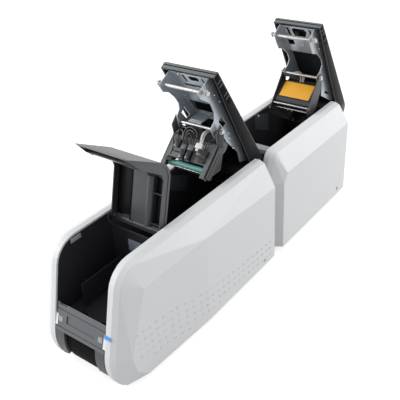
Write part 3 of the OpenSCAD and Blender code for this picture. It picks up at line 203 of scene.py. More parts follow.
mouldedFinishes = {
    "panelWhite": {"colour": "d9dbdd", "Shade": 0.03, "Grain": 1800.0, "Roughness": 0.45, "bump": 0.12,
                   "bumpSize": 0.0001, "edge": 0.0008, "fixed": {"Specular IOR Level": 0.4}},
    "panelLight": {"colour": "e9ebec", "Shade": 0.02, "Grain": 900.0, "Roughness": 0.3, "bump": 0.03,
                   "bumpSize": 0.0001, "fixed": {"Coat Weight": 0.2}},
    "buttonGrey": {"colour": "9a9c9f", "Shade": 0.05, "Grain": 900.0, "Roughness": 0.4, "bump": 0.1,
                   "bumpSize": 0.0001},
    "coreBlack": {"colour": "2b2b2f", "Shade": 0.2, "Grain": 1300.0, "Roughness": 0.42, "bump": 0.25,
                  "fixed": {"Specular IOR Level": 0.45}},
    "barGrey": {"colour": "5d6063", "Shade": 0.07, "Grain": 1500.0, "Roughness": 0.45, "bump": 0.2},
    "legGrey": {"colour": "464849", "Shade": 0.07, "Grain": 1500.0, "Roughness": 0.5, "bump": 0.2},
    "deckGrey": {"colour": "8f9193", "Shade": 0.08, "Grain": 1500.0, "Roughness": 0.45, "bump": 0.2},
    "coverGrey": {"colour": "1d1e20", "Shade": 0.14, "Grain": 1400.0, "Roughness": 0.42, "bump": 0.3,
                  "fixed": {"Specular IOR Level": 0.5}},
    "hopperGrey": {"colour": "3a3c40", "Shade": 0.14, "Grain": 1400.0, "Roughness": 0.38, "bump": 0.3,
                   "fixed": {"Specular IOR Level": 0.6}},
    "rubberBlack": {"colour": "18191b", "Shade": 0.2, "Grain": 900.0, "Roughness": 0.62, "bump": 0.3,
                    "bumpSize": 0.0003},
    "glossBlack": {"colour": "101114", "Shade": 0.2, "Grain": 600.0, "Roughness": 0.22, "bump": 0.1,
                   "fixed": {"Coat Weight": 0.3}},
    "carrierGrey": {"colour": "2b2c2f", "Shade": 0.2, "Grain": 1100.0, "Roughness": 0.4, "bump": 0.3},
    # Also the ribs between the cover slots: painted highlight
    "plugGreyAndRibHighlight": {"colour": "55575b", "Shade": 0.15, "Grain": 900.0, "Roughness": 0.4, "bump": 0.2},
    "plugWhite": {"colour": "d9d8d4", "Shade": 0.08, "Grain": 900.0, "Roughness": 0.4, "bump": 0.1},
    "headGrey": {"colour": "5c5d60", "Shade": 0.14, "Grain": 1100.0, "Roughness": 0.42, "bump": 0.3},
    # Darker sheet for the cover flanks: their own dark gloss, and painted shade
    "flankBlackAndShade": {"colour": "111214", "Shade": 0.14, "Grain": 1400.0, "Roughness": 0.4, "bump": 0.1,
                   "fixed": {"Specular IOR Level": 0.05}},
    "patchBlue": {"colour": "8d97ab", "Shade": 0.1, "Grain": 900.0, "Roughness": 0.5, "bump": 0.1,
                  "bumpSize": 0.0001},
    # Also the black of the sheets over the cover slots: painted shade
    "skirtBlack": {"colour": "0c0c0e", "Shade": 0.2, "Grain": 600.0, "Roughness": 0.8, "bump": 0.1,
                   "fixed": {"Specular IOR Level": 0.08}},
    # Lighter grey for the cover tips: painted light
    "tipPaintedLight": {"colour": "6a7170", "Shade": 0.1, "Grain": 1400.0, "Roughness": 0.4, "bump": 0.2},
    # Painted shade for the inner face of the hopper cover, dark and half-dark
    "hopperDark": {"colour": "09090b", "Shade": 0.2, "Grain": 1400.0, "Roughness": 0.5, "bump": 0.3,
                   "fixed": {"Specular IOR Level": 0.12}},
    "hopperMid": {"colour": "101013", "Shade": 0.2, "Grain": 1400.0, "Roughness": 0.45, "bump": 0.3,
                  "fixed": {"Specular IOR Level": 0.12}},
    "hopperPanel": {"colour": "1c1d21", "Shade": 0.12, "Grain": 1400.0, "Roughness": 0.4, "bump": 0.3,
                    "fixed": {"Specular IOR Level": 0.3}},
    "boardGreen": {"colour": "1f5c3a", "Shade": 0.3, "Grain": 500.0, "Roughness": 0.4, "bump": 0.3,
                   "bumpSize": 0.0003},
    "tealRubber": {"colour": "5f9c95", "Shade": 0.1, "Grain": 900.0, "Roughness": 0.28, "bump": 0.1},
    "tackyBlue": {"colour": "7fb6d6", "Shade": 0.1, "Grain": 700.0, "Roughness": 0.25, "bump": 0.1},
    "filmBlue": {"colour": "4c9be2", "Shade": 0.1, "Grain": 500.0, "Roughness": 0.3, "bump": 0.05,
                 "bumpSize": 0.0001, "edge": 0},
    "wireSleeve": {"colour": "c9c3bd", "Shade": 0.1, "Grain": 900.0, "Roughness": 0.5, "bump": 0.2},
    "amberSheet": {"colour": "e3a526", "Shade": 0.08, "Grain": 700.0, "Roughness": 0.35, "bump": 0.1,
                   "bumpSize": 0.0001, "fixed": {"Coat Weight": 0.2}},
    "feltGrey": {"colour": "3d4045", "Shade": 0.6, "Grain": 420.0, "Roughness": 0.8, "bump": 0.8,
                 "bumpSize": 0.0006},
}
rolledFinishes = {
    # The zinc's edges carry a painted highlight
    "zincSheet": {"colour": "b4bcc3", "Spangle": 0.1, "Size": 240.0, "Roughness": 0.36, "bump": 0.008,
                  "bumpSize": 0.0001, "edge": 0.0008, "glow": 2.6, "fixed": {"Metallic": 0.5}},
    "brightSteel": {"colour": "c3c2c0", "Spangle": 0.02, "Size": 300.0, "Roughness": 0.26, "bump": 0.005,
                    "bumpSize": 0.0001, "fixed": {"Metallic": 0.85}},
}
finishes = {name: finish(name, mouldedGrain, **look) for name, look in mouldedFinishes.items()}
finishes.update({name: finish(name, rolledSheet, **look) for name, look in rolledFinishes.items()})
nodeFinish = {
    "panelWhite": ["printer_panel_right", "printer_panel_left", "laminator_panel_right",
                   "laminator_panel_left"],
    "panelLight": ["light_strips"],
    "buttonGrey": ["button_left", "button_right"],
    "coreBlack": ["hopper_tray", "printer_frame", "laminator_frame", "base_plates", "printer_deck",
                  "laminator_deck", "rear_panel"],
    "headGrey": ["head_carrier"],
    "carrierGrey": ["heater_housing", "cable_duct"],
    "skirtBlack": ["front_skirt"],
    "barGrey": ["front_bar", "gate_lever"],
    "legGrey": ["front_legs"],
    "deckGrey": ["top_deck"],
    "coverGrey": ["printer_cover", "laminator_cover"],
    "hopperGrey": ["hopper_cover"],
    "zincSheet": ["cover_bracket", "cross_plate", "laminator_bracket", "printer_motor", "laminator_motor"],
    "brightSteel": ["panel_screws", "hinge_pins", "latch_shaft", "pivot_shaft", "guide_bar",
                    "laminator_latch", "laminator_pivot", "heater_bars", "motor_pulley",
                    "laminator_pulley", "data_port"],
    "rubberBlack": ["rubber_feet", "drive_belts", "pick_roller", "feed_roller", "platen_roller",
                    "exit_roller", "entry_roller", "press_roller", "outlet_roller", "head_cables"],
    "glossBlack": ["power_inlet", "power_switch", "print_head", "ribbon_motor"],
    "boardGreen": ["main_board"],
    "tealRubber": ["guide_roller"],
    "tackyBlue": ["cleaning_roller"],
    "filmBlue": ["film_tab"],
    "wireSleeve": ["heater_wires"],
}
for finishName, owners in nodeFinish.items():
    for owner in owners:
        piece = nodes[owner]
        piece.data.materials.clear()
        piece.data.materials.append(finishes[finishName])
print("finishes on", sum(len(v) for v in nodeFinish.values()), "nodes")


# Shapes in millimetres, stamped into one mesh for each piece
rounding = {"segments": 2, "profile": 0.6, "affect": "EDGES"}


def boxShape(low, high, cut=0.3):
    bm = bmesh.new()
    bmesh.ops.create_cube(bm, size=1)
    low, high = Vector(low), Vector(high)
    for v in bm.verts:
        v.co = Vector([(low[i] + high[i]) / 2 + v.co[i] * (high[i] - low[i]) for i in range(3)])
    if cut:
        bmesh.ops.bevel(bm, geom=bm.edges[:], offset=cut, **rounding)
    return bm


def sheetShape(outline, thick, cut=0.2):
    bm = bmesh.new()
    face = bm.faces.new([bm.verts.new((a, b, 0)) for a, b in outline])
    raised = bmesh.ops.extrude_face_region(bm, geom=[face])["geom"]
    for v in [g for g in raised if isinstance(g, bmesh.types.BMVert)]:
        v.co.z += thick
    bmesh.ops.recalc_face_normals(bm, faces=bm.faces[:])
    if cut:
        bmesh.ops.bevel(bm, geom=bm.edges[:], offset=cut, **rounding)
    return bm


# profile: (radius, height) pairs from the bottom up, turned about Z
def turnedShape(profile, sides=28):
    bm = bmesh.new()
    rings = []
    for radius, height in profile:
        if radius == 0:
            rings.append([bm.verts.new((0, 0, height))])
        else:
            rings.append([bm.verts.new((radius * math.cos(2 * math.pi * i / sides),
                                        radius * math.sin(2 * math.pi * i / sides), height))
                          for i in range(sides)])
    for a, b in zip(rings, rings[1:]):
        for i in range(sides):
            j = (i + 1) % sides
            corners = [a[i % len(a)], a[j % len(a)], b[j % len(b)], b[i % len(b)]]
            loop = [c for k, c in enumerate(corners) if c not in corners[:k]]
            bm.faces.new(loop)
    bmesh.ops.recalc_face_normals(bm, faces=bm.faces[:])
    return bm


# Smooth curve through the points
def smoothPath(points, steps=8):
    points = [Vector(p) for p in points]
    ends = [points[0] * 2 - points[1]] + points + [points[-1] * 2 - points[-2]]
    path = []
    for i in range(1, len(ends) - 2):
        a, b, c, d = ends[i - 1:i + 3]
        for k in range(steps):
            t = k / steps
            path.append(0.5 * ((2 * b) + (c - a) * t + (2 * a - 5 * b + 4 * c - d) * t ** 2
                               + (3 * b - a - 3 * c + d) * t ** 3))
    return path + [points[-1]]


def tubeShape(points, radius, sides=12):
    bm = bmesh.new()
    path = smoothPath(points)
    side = (path[1] - path[0]).orthogonal().normalized()
    rings = []
    for i, spot in enumerate(path):
        ahead = (path[min(i + 1, len(path) - 1)] - path[max(i - 1, 0)]).normalized()
        side = (side - ahead * side.dot(ahead)).normalized()
        up = ahead.cross(side)
        rings.append([bm.verts.new(spot + radius * (side * math.cos(2 * math.pi * k / sides)
                                                    + up * math.sin(2 * math.pi * k / sides)))
                      for k in range(sides)])
    for a, b in zip(rings, rings[1:]):
        for k in range(sides):
            bm.faces.new((a[k], a[(k + 1) % sides], b[(k + 1) % sides], b[k]))
    bm.faces.new(rings[0][::-1])
    bm.faces.new(rings[-1])
    bmesh.ops.recalc_face_normals(bm, faces=bm.faces[:])
    return bm


perMetre = 1000
millimetres = Matrix.Scale(1 / perMetre, 4)


# Closed pose in millimetres, turned to where the open cover stands
def lidPlace(jointName):
    joint = joints[jointName]
    pivot = Vector(joint["pos_m"])
    return (Matrix.Translation(pivot) @ Matrix.Rotation(-math.radians(joint["range_deg"][1]), 4, "X")
            @ Matrix.Translation(-pivot) @ millimetres)


# Place on a leaning face: (leanY, leanZ) runs up the face and Z stands off it
def planeAt(y, z, leanY, leanZ):
    return Matrix(((1, 0, 0, 0), (0, leanY, -leanZ, y), (0, leanZ, leanY, z), (0, 0, 0, 1)))


# Place of an outline in (y, z) that is raised along X from x
def standingAt(x):
    return Matrix(((0, 0, 1, x), (1, 0, 0, 0), (0, 1, 0, 0), (0, 0, 0, 1)))


# Place of a turned shape that points to the front of the machine
def alongFront(x, y, z):
    return Matrix(((1, 0, 0, x), (0, 0, -1, y), (0, 1, 0, z), (0, 0, 0, 1)))


# Place of a turned shape that points to the right, or with sign -1 to the left
def alongX(x, y, z, sign=1):
    return Matrix.Translation((x, y, z)) @ Matrix.Rotation(sign * math.pi / 2, 4, "Y")


def makePiece(name, body, finishName, shapes, place=millimetres, sharp=35):
    whole = bmesh.new()
    for shape, spot in shapes:
        shape.transform(place @ spot)
        spare = bpy.data.meshes.new("spare")
        shape.to_mesh(spare)
        shape.free()
        whole.from_mesh(spare)
        bpy.data.meshes.remove(spare)
    bmesh.ops.recalc_face_normals(whole, faces=whole.faces[:])
    mesh = bpy.data.meshes.new(name)
    whole.to_mesh(mesh)
    whole.free()
    mesh.shade_smooth()
    mesh.set_sharp_from_angle(angle=math.radians(sharp))
    mesh.materials.append(finishes[finishName])
    made = bpy.data.objects.new(name, mesh)
    bpy.context.scene.collection.objects.link(made)
    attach(made, body)
    return made


here = Matrix.Identity(4)


def centre(node):
    low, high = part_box(node)
    return [(low[i] + high[i]) / 2 * perMetre for i in range(3)]


# Printer cover: head plate with its plugs and loops
printerLid = lidPlace("printer_cover_hinge")
laminatorLid = lidPlace("laminator_cover_hinge")
headFace = {"y": -69, "z": 73.5, "leanY": -0.184, "leanZ": 0.983}
face = planeAt(**headFace)


# Height z as a length up the head's face
def up(z):
    return (z - headFace["z"]) / headFace["leanZ"]


# Each plug: x from and to, z from and to, and how far it stands off the face
plugs = {"blocks": [(-11, -3, 93, 107, 7), (0, 8, 94, 107.5, 7), (16, 34, 105, 114, 5),
                    (-29, -20, 108, 121, 4)],
         "tops": [(-15, -6, 107, 115, 5), (-2, 8, 108, 117, 6), (-34, -31, 96, 112, 1.2)],
         "pale": [(9, 21, 114, 122, 6), (11, 16, 110, 114, 4.5), (13, 18, 122, 125, 5)],
         "dark": [(-36, -24, 85.6, 91.5, 1.0), (-30, -14, 101, 103.5, 0.9), (21, 33, 95, 101, 3)],
         "sunk": 0.4, "cut": 0.5}
for key, finishName in (("blocks", "glossBlack"), ("tops", "plugGreyAndRibHighlight"), ("pale", "plugWhite"),
                        ("dark", "rubberBlack")):
    makePiece("plug_" + key, "head_unit", finishName,
              [(boxShape((a, up(c), -plugs["sunk"]), (b, up(d), deep), plugs["cut"]), face)
               for a, b, c, d, deep in plugs[key]], printerLid)

# Each row of pins: first x, z, count and step
pinRows = {"rows": [(-9.8, 93, 4, 1.9), (1.2, 94, 4, 1.9), (18, 105, 7, 2.3)],
           "half": 0.5, "below": 3.5, "above": 0.5, "near": 1.5, "far": 5, "cut": 0.2}
pins = []
for first, z, count, step in pinRows["rows"]:
    for k in range(count):
        low = (first + k * step - pinRows["half"], up(z) - pinRows["below"], pinRows["near"])
        high = (first + k * step + pinRows["half"], up(z) + pinRows["above"], pinRows["far"])
        pins.append((boxShape(low, high, pinRows["cut"]), face))
makePiece("plug_pins", "head_unit", "plugGreyAndRibHighlight", pins, printerLid)

loops = {"radius": 1.1,
         "black": [[(-8, 115, 3), (-12, 127, 9), (-8, 135, 12), (1, 134, 12), (4, 125, 8), (2, 116, 4)],
                   [(-11, 115, 3), (-17, 126, 8), (-14, 138, 11), (-3, 140, 12), (7, 133, 10), (6, 117, 4)],
                   [(-5, 115, 4), (-8, 124, 11), (-4, 130, 14), (1, 127, 12), (0, 117, 5)],
                   [(-25, 120, 3), (-29, 130, 7), (-24, 139, 8), (-14, 137, 9), (-9, 128, 9)],
                   [(-33, 112, 1), (-36, 122, 4), (-30, 133, 6), (-22, 133, 7), (-18, 121, 4)],
                   [(25, 114, 3), (27, 124, 6), (33, 131, 6), (38, 138, 2), (39.4, 146, -6)],
                   [(30, 113, 3), (31, 122, 7), (36, 127, 5), (38.6, 136, -2), (39.4, 141, -10)]],
         "pale": [[(14, 124, 3), (13.5, 131, 6), (13, 139, 5), (12, 147, -3)],
                  [(16, 124, 3), (15.5, 131, 7), (15, 139, 6), (14, 147, -3)],
                  [(17.5, 124, 3), (17.3, 131, 5), (16.8, 139, 4), (16, 147, -4)]]}
for key, finishName in (("black", "glossBlack"), ("pale", "plugWhite")):
    makePiece("head_loops_" + key, "head_unit", finishName,
              [(tubeShape([(x, up(z), n) for x, z, n in run], loops["radius"]), face)
               for run in loops[key]], printerLid, sharp=60)

headBacking = {"outline": [(-41, 112), (41, 112), (41, 143), (33, 146), (8, 146), (5, 141), (-3, 141),
                           (-6, 146), (-38, 146), (-41, 139)],
               "thick": 1.2, "cut": 0.3, "behind": -7}
backing = sheetShape([(x, up(z)) for x, z in headBacking["outline"]], headBacking["thick"],
                     headBacking["cut"])
makePiece("head_backing", "head_unit", "rubberBlack",
          [(backing, face @ Matrix.Translation((0, 0, headBacking["behind"])))], printerLid)

# Bare raised rim on the tongue
tongue = {"y": -90.4, "z": 150.8, "leanY": 0.469, "leanZ": 0.883}
rim = {"bars": [((-20, 3), (2.0, 3.2)), ((-20, 3), (26.3, 27.5)), ((-20, -18.8), (2.0, 27.5)),
                ((1.8, 3), (2.0, 27.5))],
       "near": 0.4, "far": 1.5, "cut": 0.2}
makePiece("tongue_rim", "printer_lid", "zincSheet",
          [(boxShape((a, c, rim["near"]), (b, d, rim["far"]), rim["cut"]), planeAt(**tongue))
           for (a, b), (c, d) in rim["bars"]], printerLid)

# Round hardware on the shafts: a clip and a nut at each end
clip = [(0, 0), (4.2, 0), (4.5, 0.25), (4.5, 0.75), (4.2, 1.0), (0, 1.0)]
nut = [(0, 0), (3.6, 0), (3.9, 0.3), (3.9, 2.4), (3.2, 3.0), (1.6, 3.0), (1.3, 2.6), (0, 2.6)]
shafts = {"latch_shaft": "printer_latch", "pivot_shaft": "printer_lid",
          "laminator_latch": "laminator_catch", "laminator_pivot": "laminator_lid"}
shaftEnd = {"clip": 1.6, "nut": 0.5, "nutSides": 6}
for node, body in shafts.items():
    _, y, z = centre(node)
    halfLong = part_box(node)[1][0] * perMetre
    makePiece(node + "_clips", body, "brightSteel",
              [(turnedShape(clip), alongX(side * (halfLong - shaftEnd["clip"]), y, z, side))
               for side in (-1, 1)]
              + [(turnedShape(nut, shaftEnd["nutSides"]),
                  alongX(side * (halfLong - shaftEnd["nut"]), y, z, side)) for side in (-1, 1)])

# Cover tips and flanks: lighter bands on the tips as painted light, dark sheets over the side slots as
# painted shade, and their thin ribs in a lighter grey as painted highlight
covers = {
    "printer_cover": {"body": "printer_lid", "place": printerLid, "half": 46.5, "tip": -176,
                      "slotShade": (-173, -113), "ribs": (-160.5, -153, -133.3, -125.5),
                      "flank": [(-174, 178.4), (21.5, 161.9), (44, 150.2), (47.5, 149), (47.5, 188.4),
                                (-172.5, 188.4)]},
    "laminator_cover": {"body": "laminator_lid", "place": laminatorLid, "half": 45.8, "tip": 116,
                        "slotShade": (120, 162), "ribs": (126.5, 135.2, 150.6),
                        "flank": [(118, 178.4), (289, 163.6), (321, 163.6), (330, 140), (338, 136),
                                  (338, 188.4), (119.5, 188.4)]}}
# Lows and highs in z, and depths, that both covers share
# Lighter bands over the cover tips: painted light where the tip faces the front and top lamps
tipLightBands = {"bands": [(184.6, 187.6), (177.6, 182.8)], "proud": 0.05, "sunk": 0.3, "cut": 0.15}
tipLine = {"low": 183.1, "high": 184.3, "inset": 0.4, "proud": 0.1, "sunk": 0.3, "cut": 0.1}
# Black sheets over the flank slots: painted shade in the slots
slotShade = {"low": 178.8, "high": 187, "sunk": 0.2, "proud": 0.25, "cut": 0.1}
# Darker sheet over each flank: its own dark gloss, and painted shade
flankSkin = {"sunk": 0.08, "thick": 0.22, "cut": 0.06}
# The ribs take a lighter grey than the cover: painted highlight
rib = {"low": 178.6, "high": 187.4, "half": 0.7, "sunk": 0.2, "proud": 0.7, "cut": 0.2}
for key, cover in covers.items():
    half, tip = cover["half"], cover["tip"]
    first, last = cover["slotShade"]
    parts = {
        "_tip_trim": ("tipPaintedLight", here, [
            boxShape((-half, tip - tipLightBands["proud"], low), (half, tip + tipLightBands["sunk"], high), tipLightBands["cut"])
            for low, high in tipLightBands["bands"]]),
        "_tip_line": ("skirtBlack", here, [
            boxShape((-half + tipLine["inset"], tip - tipLine["proud"], tipLine["low"]),
                     (half - tipLine["inset"], tip + tipLine["sunk"], tipLine["high"]), tipLine["cut"])]),
        "_windows": ("skirtBlack", here, [
            boxShape((half - slotShade["sunk"], first, slotShade["low"]),
                     (half + slotShade["proud"], last, slotShade["high"]), slotShade["cut"])]),
        "_flank": ("flankBlackAndShade", standingAt(half - flankSkin["sunk"]), [
            sheetShape(cover["flank"], flankSkin["thick"], flankSkin["cut"])]),
        "_ribs": ("plugGreyAndRibHighlight", here, [
            boxShape((half - rib["sunk"], y - rib["half"], rib["low"]),
                     (half + rib["proud"], y + rib["half"], rib["high"]), rib["cut"])
            for y in cover["ribs"]])}
    for ending, (finishName, spot, shapes) in parts.items():
        makePiece(key + ending, cover["body"], finishName, [(shape, spot) for shape in shapes],
                  cover["place"])
coverEdge = {"outline": [(-175.4, 175.6), (22, 158.6), (22, 161), (-175.4, 177.4)],
             "x": 44.9, "thick": 1.8, "cut": 0.2}
makePiece("cover_edge", "printer_lid", "skirtBlack",
          [(sheetShape(coverEdge["outline"], coverEdge["thick"], coverEdge["cut"]),
            standingAt(coverEdge["x"]))], printerLid)
armLining = {"outline": [(-97, 150), (-94, 135.5), (-79, 129), (-68.5, 76), (-60.5, 76.5),
                         (-41.5, 108), (-61, 132), (-82.5, 150)],
             "x": 41.5, "thick": 0.5, "cut": 0.15}
makePiece("arm_lining", "head_unit", "rubberBlack",
          [(sheetShape(armLining["outline"], armLining["thick"], armLining["cut"]),
            standingAt(armLining["x"]))], printerLid)
print("head, tongue, shaft and cover pieces placed")


# Copies set out by Geometry Nodes: one tree, named inputs
def makeCopyTree():
    tree = bpy.data.node_groups.new("setOut", "GeometryNodeTree")
    add = tree.interface.new_socket
    add(name="Geometry", in_out="INPUT", socket_type="NodeSocketGeometry")
    add(name="Shape", in_out="INPUT", socket_type="NodeSocketObject")
    add(name="Size", in_out="INPUT", socket_type="NodeSocketFloat")
    add(name="Finish", in_out="INPUT", socket_type="NodeSocketMaterial")
    add(name="Geometry", in_out="OUTPUT", socket_type="NodeSocketGeometry")
    start = tree.nodes.new("NodeGroupInput")
    end = tree.nodes.new("NodeGroupOutput")
    facing = tree.nodes.new("GeometryNodeInputNamedAttribute")
    facing.data_type = "FLOAT_VECTOR"
    facing.inputs["Name"].default_value = "facing"
    aim = tree.nodes.new("FunctionNodeAlignRotationToVector")
    aim.axis = "Z"
    shape = tree.nodes.new("GeometryNodeObjectInfo")
    spread = tree.nodes.new("GeometryNodeInstanceOnPoints")
    real = tree.nodes.new("GeometryNodeRealizeInstances")
    paint = tree.nodes.new("GeometryNodeSetMaterial")
    link(tree, facing.outputs["Attribute"], aim.inputs["Vector"])
    link(tree, start.outputs["Shape"], shape.inputs["Object"])
    link(tree, start.outputs["Geometry"], spread.inputs["Points"])
    link(tree, shape.outputs["Geometry"], spread.inputs["Instance"])
    link(tree, aim.outputs["Rotation"], spread.inputs["Rotation"])
    link(tree, start.outputs["Size"], spread.inputs["Scale"])
    link(tree, spread.outputs["Instances"], real.inputs["Geometry"])
    link(tree, real.outputs["Geometry"], paint.inputs["Geometry"])
    link(tree, start.outputs["Finish"], paint.inputs["Material"])
    link(tree, paint.outputs["Geometry"], end.inputs["Geometry"])
    return tree


copyTree = makeCopyTree()
socketIds = {item.name: item.identifier for item in copyTree.interface.items_tree if item.in_out == "INPUT"}


# spots are pairs of place and facing in metres, shape is a bmesh in metres
def setOut(name, body, finishName, shape, spots, size=1.0, sharp=35):
    master = bpy.data.meshes.new(name + "_one")
    shape.to_mesh(master)
    shape.free()
    master.shade_smooth()
    master.set_sharp_from_angle(angle=math.radians(sharp))
    one = bpy.data.objects.new(name + "_one", master)
    cloud = bpy.data.meshes.new(name + "_spots")
    cloud.from_pydata([tuple(place) for place, _ in spots], [], [])
    facing = cloud.attributes.new("facing", "FLOAT_VECTOR", "POINT")
    facing.data.foreach_set("vector", [c for _, way in spots for c in way])
    holder = bpy.data.objects.new(name + "_spots", cloud)
    bpy.context.scene.collection.objects.link(holder)
    maker = holder.modifiers.new("setOut", "NODES")
    maker.node_group = copyTree
    maker[socketIds["Shape"]] = one
    maker[socketIds["Size"]] = float(size)
    maker[socketIds["Finish"]] = finishes[finishName]
    mesh = bpy.data.meshes.new_from_object(holder.evaluated_get(bpy.context.evaluated_depsgraph_get()))
    mesh.name = name
    made = bpy.data.objects.new(name, mesh)
    bpy.context.scene.collection.objects.link(made)
    holder.modifiers.clear()
    bpy.data.objects.remove(holder)
    bpy.data.objects.remove(one)
    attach(made, body)
    print(name, len(spots), "copies", len(mesh.polygons), "faces")
    return made


def spotIn(place, point, way):
    turn = place.to_3x3()
    return place @ Vector(point), (turn @ Vector(way)).normalized()


def inMetres(shape):
    shape.transform(millimetres)
    return shape


rivet = [(0, -0.3), (2.0, -0.3), (2.0, 0.3), (1.7, 0.8), (1.1, 1.15), (0.5, 1.3), (0, 1.35)]
# Rivets in (y, z) on the side plate and in (x, y) under the web
rivets = {
    "plateX": 35.3, "webZ": 177.9, "sides": 20,
    "printer_lid": {"place": printerLid,
                    "plate": [(-95, 142.3), (-140, 174), (-121, 177), (-60, 163), (-52, 159), (-30, 155)],
                    "web": [(-19.5, -166), (-33, -112), (30, -118), (31, -163), (-30, -72)]},
    "laminator_lid": {"place": laminatorLid, "plate": [(137, 172), (152, 176), (166, 174)],
                      "web": [(-28, 137), (30, 140), (-31, 180), (31, 181), (0, 168)]}}
for body in ("printer_lid", "laminator_lid"):
    bracket = rivets[body]
    placed = [spotIn(bracket["place"], (rivets["plateX"], y, z), (1, 0, 0)) for y, z in bracket["plate"]]
    placed += [spotIn(bracket["place"], (x, y, rivets["webZ"]), (0, 0, -1)) for x, y in bracket["web"]]
    setOut(body + "_rivets", body, "brightSteel", inMetres(turnedShape(rivet, rivets["sides"])), placed)

# Dimples in rows on the outer faces of the panels. tops are the places (y, z) of the first row,
# and the last row starts at lastFrom
dimples = {"tops": [(-289, 89), (-277, 89), (-265, 88), (-253, 89), (-239, 87), (-224, 85), (-210, 83),
                    (-193, 78), (-178, 74), (-161, 71), (-147, 68), (-133, 66), (-118, 64), (-104, 62),
                    (-90, 60), (-76, 58.5), (-62, 57), (-48, 56), (-34, 55), (-20, 54), (-6, 53),
                    (8, 52), (22, 51), (34, 50)],
           "rows": 5, "drop": 12.8, "shift": 1.0, "lowest": 24, "lastFrom": -270, "sides": 24,
           "rayFrom": 0.2, "outside": 0.06}


# Places in metres where rays from the right meet the node's outer face
def surfaceSpots(node, rows):
    seen = BVHTree.FromObject(nodes[node], bpy.context.evaluated_depsgraph_get())
    found = []
    for y, z in rows:
        start = Vector((dimples["rayFrom"], y / perMetre, z / perMetre))
        place, normal, _, _ = seen.ray_cast(start, Vector((-1, 0, 0)))
        if place and place.x > dimples["outside"]:
            found.append((place, normal))
    return found


# Profile of one dimple: a low wall round a shallow dish
dish = [(2.4, -0.15), (2.3, 0.45), (2.05, 0.6), (1.6, 0.38), (1.1, 0.16), (0.5, 0.05), (0, 0.02)]
lastRow = dimples["rows"] - 1
rightSpots = surfaceSpots("printer_panel_right", [
    (y + dimples["shift"] * k, z - dimples["drop"] * k)
    for y, z in dimples["tops"] for k in range(dimples["rows"])
    if z - dimples["drop"] * k > dimples["lowest"] and (k < lastRow or y > dimples["lastFrom"])])
leftSpots = [(Vector((-p.x, p.y, p.z)), (-n.x, n.y, n.z)) for p, n in rightSpots]
for name, spots in (("panel_dimples", rightSpots), ("panel_dimples_left", leftSpots)):
    setOut(name, "housing", "panelWhite", inMetres(turnedShape(dish, dimples["sides"])), spots)

# Laminator head: amber sheet with its frame, wires and the plate behind them
heaterFace = {"y": 229, "z": 101, "leanY": -0.0854, "leanZ": 0.9963}
heater = planeAt(**heaterFace)
amber = {"sheet": ((-30, 0.5, -0.3), (32, 33, 0.7)), "cut": 0.3,
         "frame": [((-32, -1.5, -0.3), (34, 0.3, 1.0)), ((-32, 33.2, -0.3), (34, 35, 1.0)),
                   ((-32, -1.5, -0.3), (-30.2, 35, 1.0)), ((32.2, -1.5, -0.3), (34, 35, 1.0))]}
makePiece("amber_sheet", "heater_unit", "amberSheet",
          [(boxShape(*amber["sheet"], amber["cut"]), heater)], laminatorLid)
makePiece("amber_frame", "heater_unit", "glossBlack",
          [(boxShape(low, high, amber["cut"]), heater) for low, high in amber["frame"]], laminatorLid)
leads = {"radius": 0.9,
         "runs": [[(-7.5, 201, 139), (-7, 210, 148), (-6, 222, 151), (-5, 232, 143), (-5, 235, 134)],
                  [(-4.5, 201, 139), (-4, 211, 149), (-3, 223, 152), (-2, 233, 144), (-2, 236, 134)],
                  [(-2, 202, 139), (-1, 211, 147), (0, 224, 150), (1, 234, 143), (1, 236, 134)]]}
makePiece("heater_leads", "heater_unit", "wireSleeve",
          [(tubeShape(run, leads["radius"]), here) for run in leads["runs"]],
          laminatorLid, 60)
heaterBacking = {"plate": ((-32, 233.4, 127), (32, 234.8, 147)),
                 "socket": ((-8, 232.6, 128), (5, 233.8, 140)), "cut": 0.3}
makePiece("heater_backing", "heater_unit", "rubberBlack",
          [(boxShape(*heaterBacking[key], heaterBacking["cut"]), here) for key in ("plate", "socket")],
          laminatorLid)

# Inner face of the hopper cover in the closed pose, with sheets of painted shade, dark and half-dark,
# beside its panel, and the wire arm beside its hinge
hopperLid = lidPlace("hopper_cover_hinge")
hopperFaces = {
    "hopperDark": [((-44.2, -262, 187.3), (-31.4, -190, 188.1)),
                   ((26.8, -262, 187.3), (44.2, -190, 188.1))],
    "hopperMid": [((-31.4, -262, 187.3), (-15.9, -192, 188.1))],
    "hopperPanel": [((-14.8, -262, 185.2), (10.8, -190, 186.1))],
    "skirtBlack": [((-16.4, -262, 184.2), (-15.2, -186, 187.4))]}
faceCut = 0.15
for key, plates in hopperFaces.items():
    makePiece("hopper_face_" + key, "hopper_lid", key,
              [(boxShape(low, high, faceCut), here) for low, high in plates], hopperLid)
hopperArm = {"radius": 0.7, "run": [(-47.3, -192.1, 188.2), (-47.3, -196, 185), (-47.3, -197.2, 181),
                                    (-47.3, -195.5, 175.5), (-47.3, -192.3, 171.9)]}
makePiece("hopper_arm", "housing", "plugGreyAndRibHighlight", [(tubeShape(hopperArm["run"], hopperArm["radius"]), here)],
          sharp=60)

# Lining patches, pins and tabs on the inner walls. Lining outlines are in (y, z)
linings = {"laminator": [(204, 188), (251.5, 175), (252, 138), (204, 158)],
           "printer": [(-53, 183), (-10, 162), (-13, 133), (-56, 155)]}
lining = {"x": -48.4, "thick": 0.9, "cut": 0.2}
for key, outline in linings.items():
    makePiece("lining_" + key, "housing", "feltGrey",
              [(sheetShape(outline, lining["thick"], lining["cut"]), standingAt(lining["x"]))])
wallX = -48.6
pin = [(0, 0), (2.4, 0), (2.6, 0.3), (2.6, 1.5), (2.2, 2.1), (0, 2.1)]
pinSpots = [(215, 182.6), (257, 185.5)]
makePiece("wall_pins", "housing", "plugWhite",
          [(turnedShape(pin), alongX(wallX, y, z)) for y, z in pinSpots])
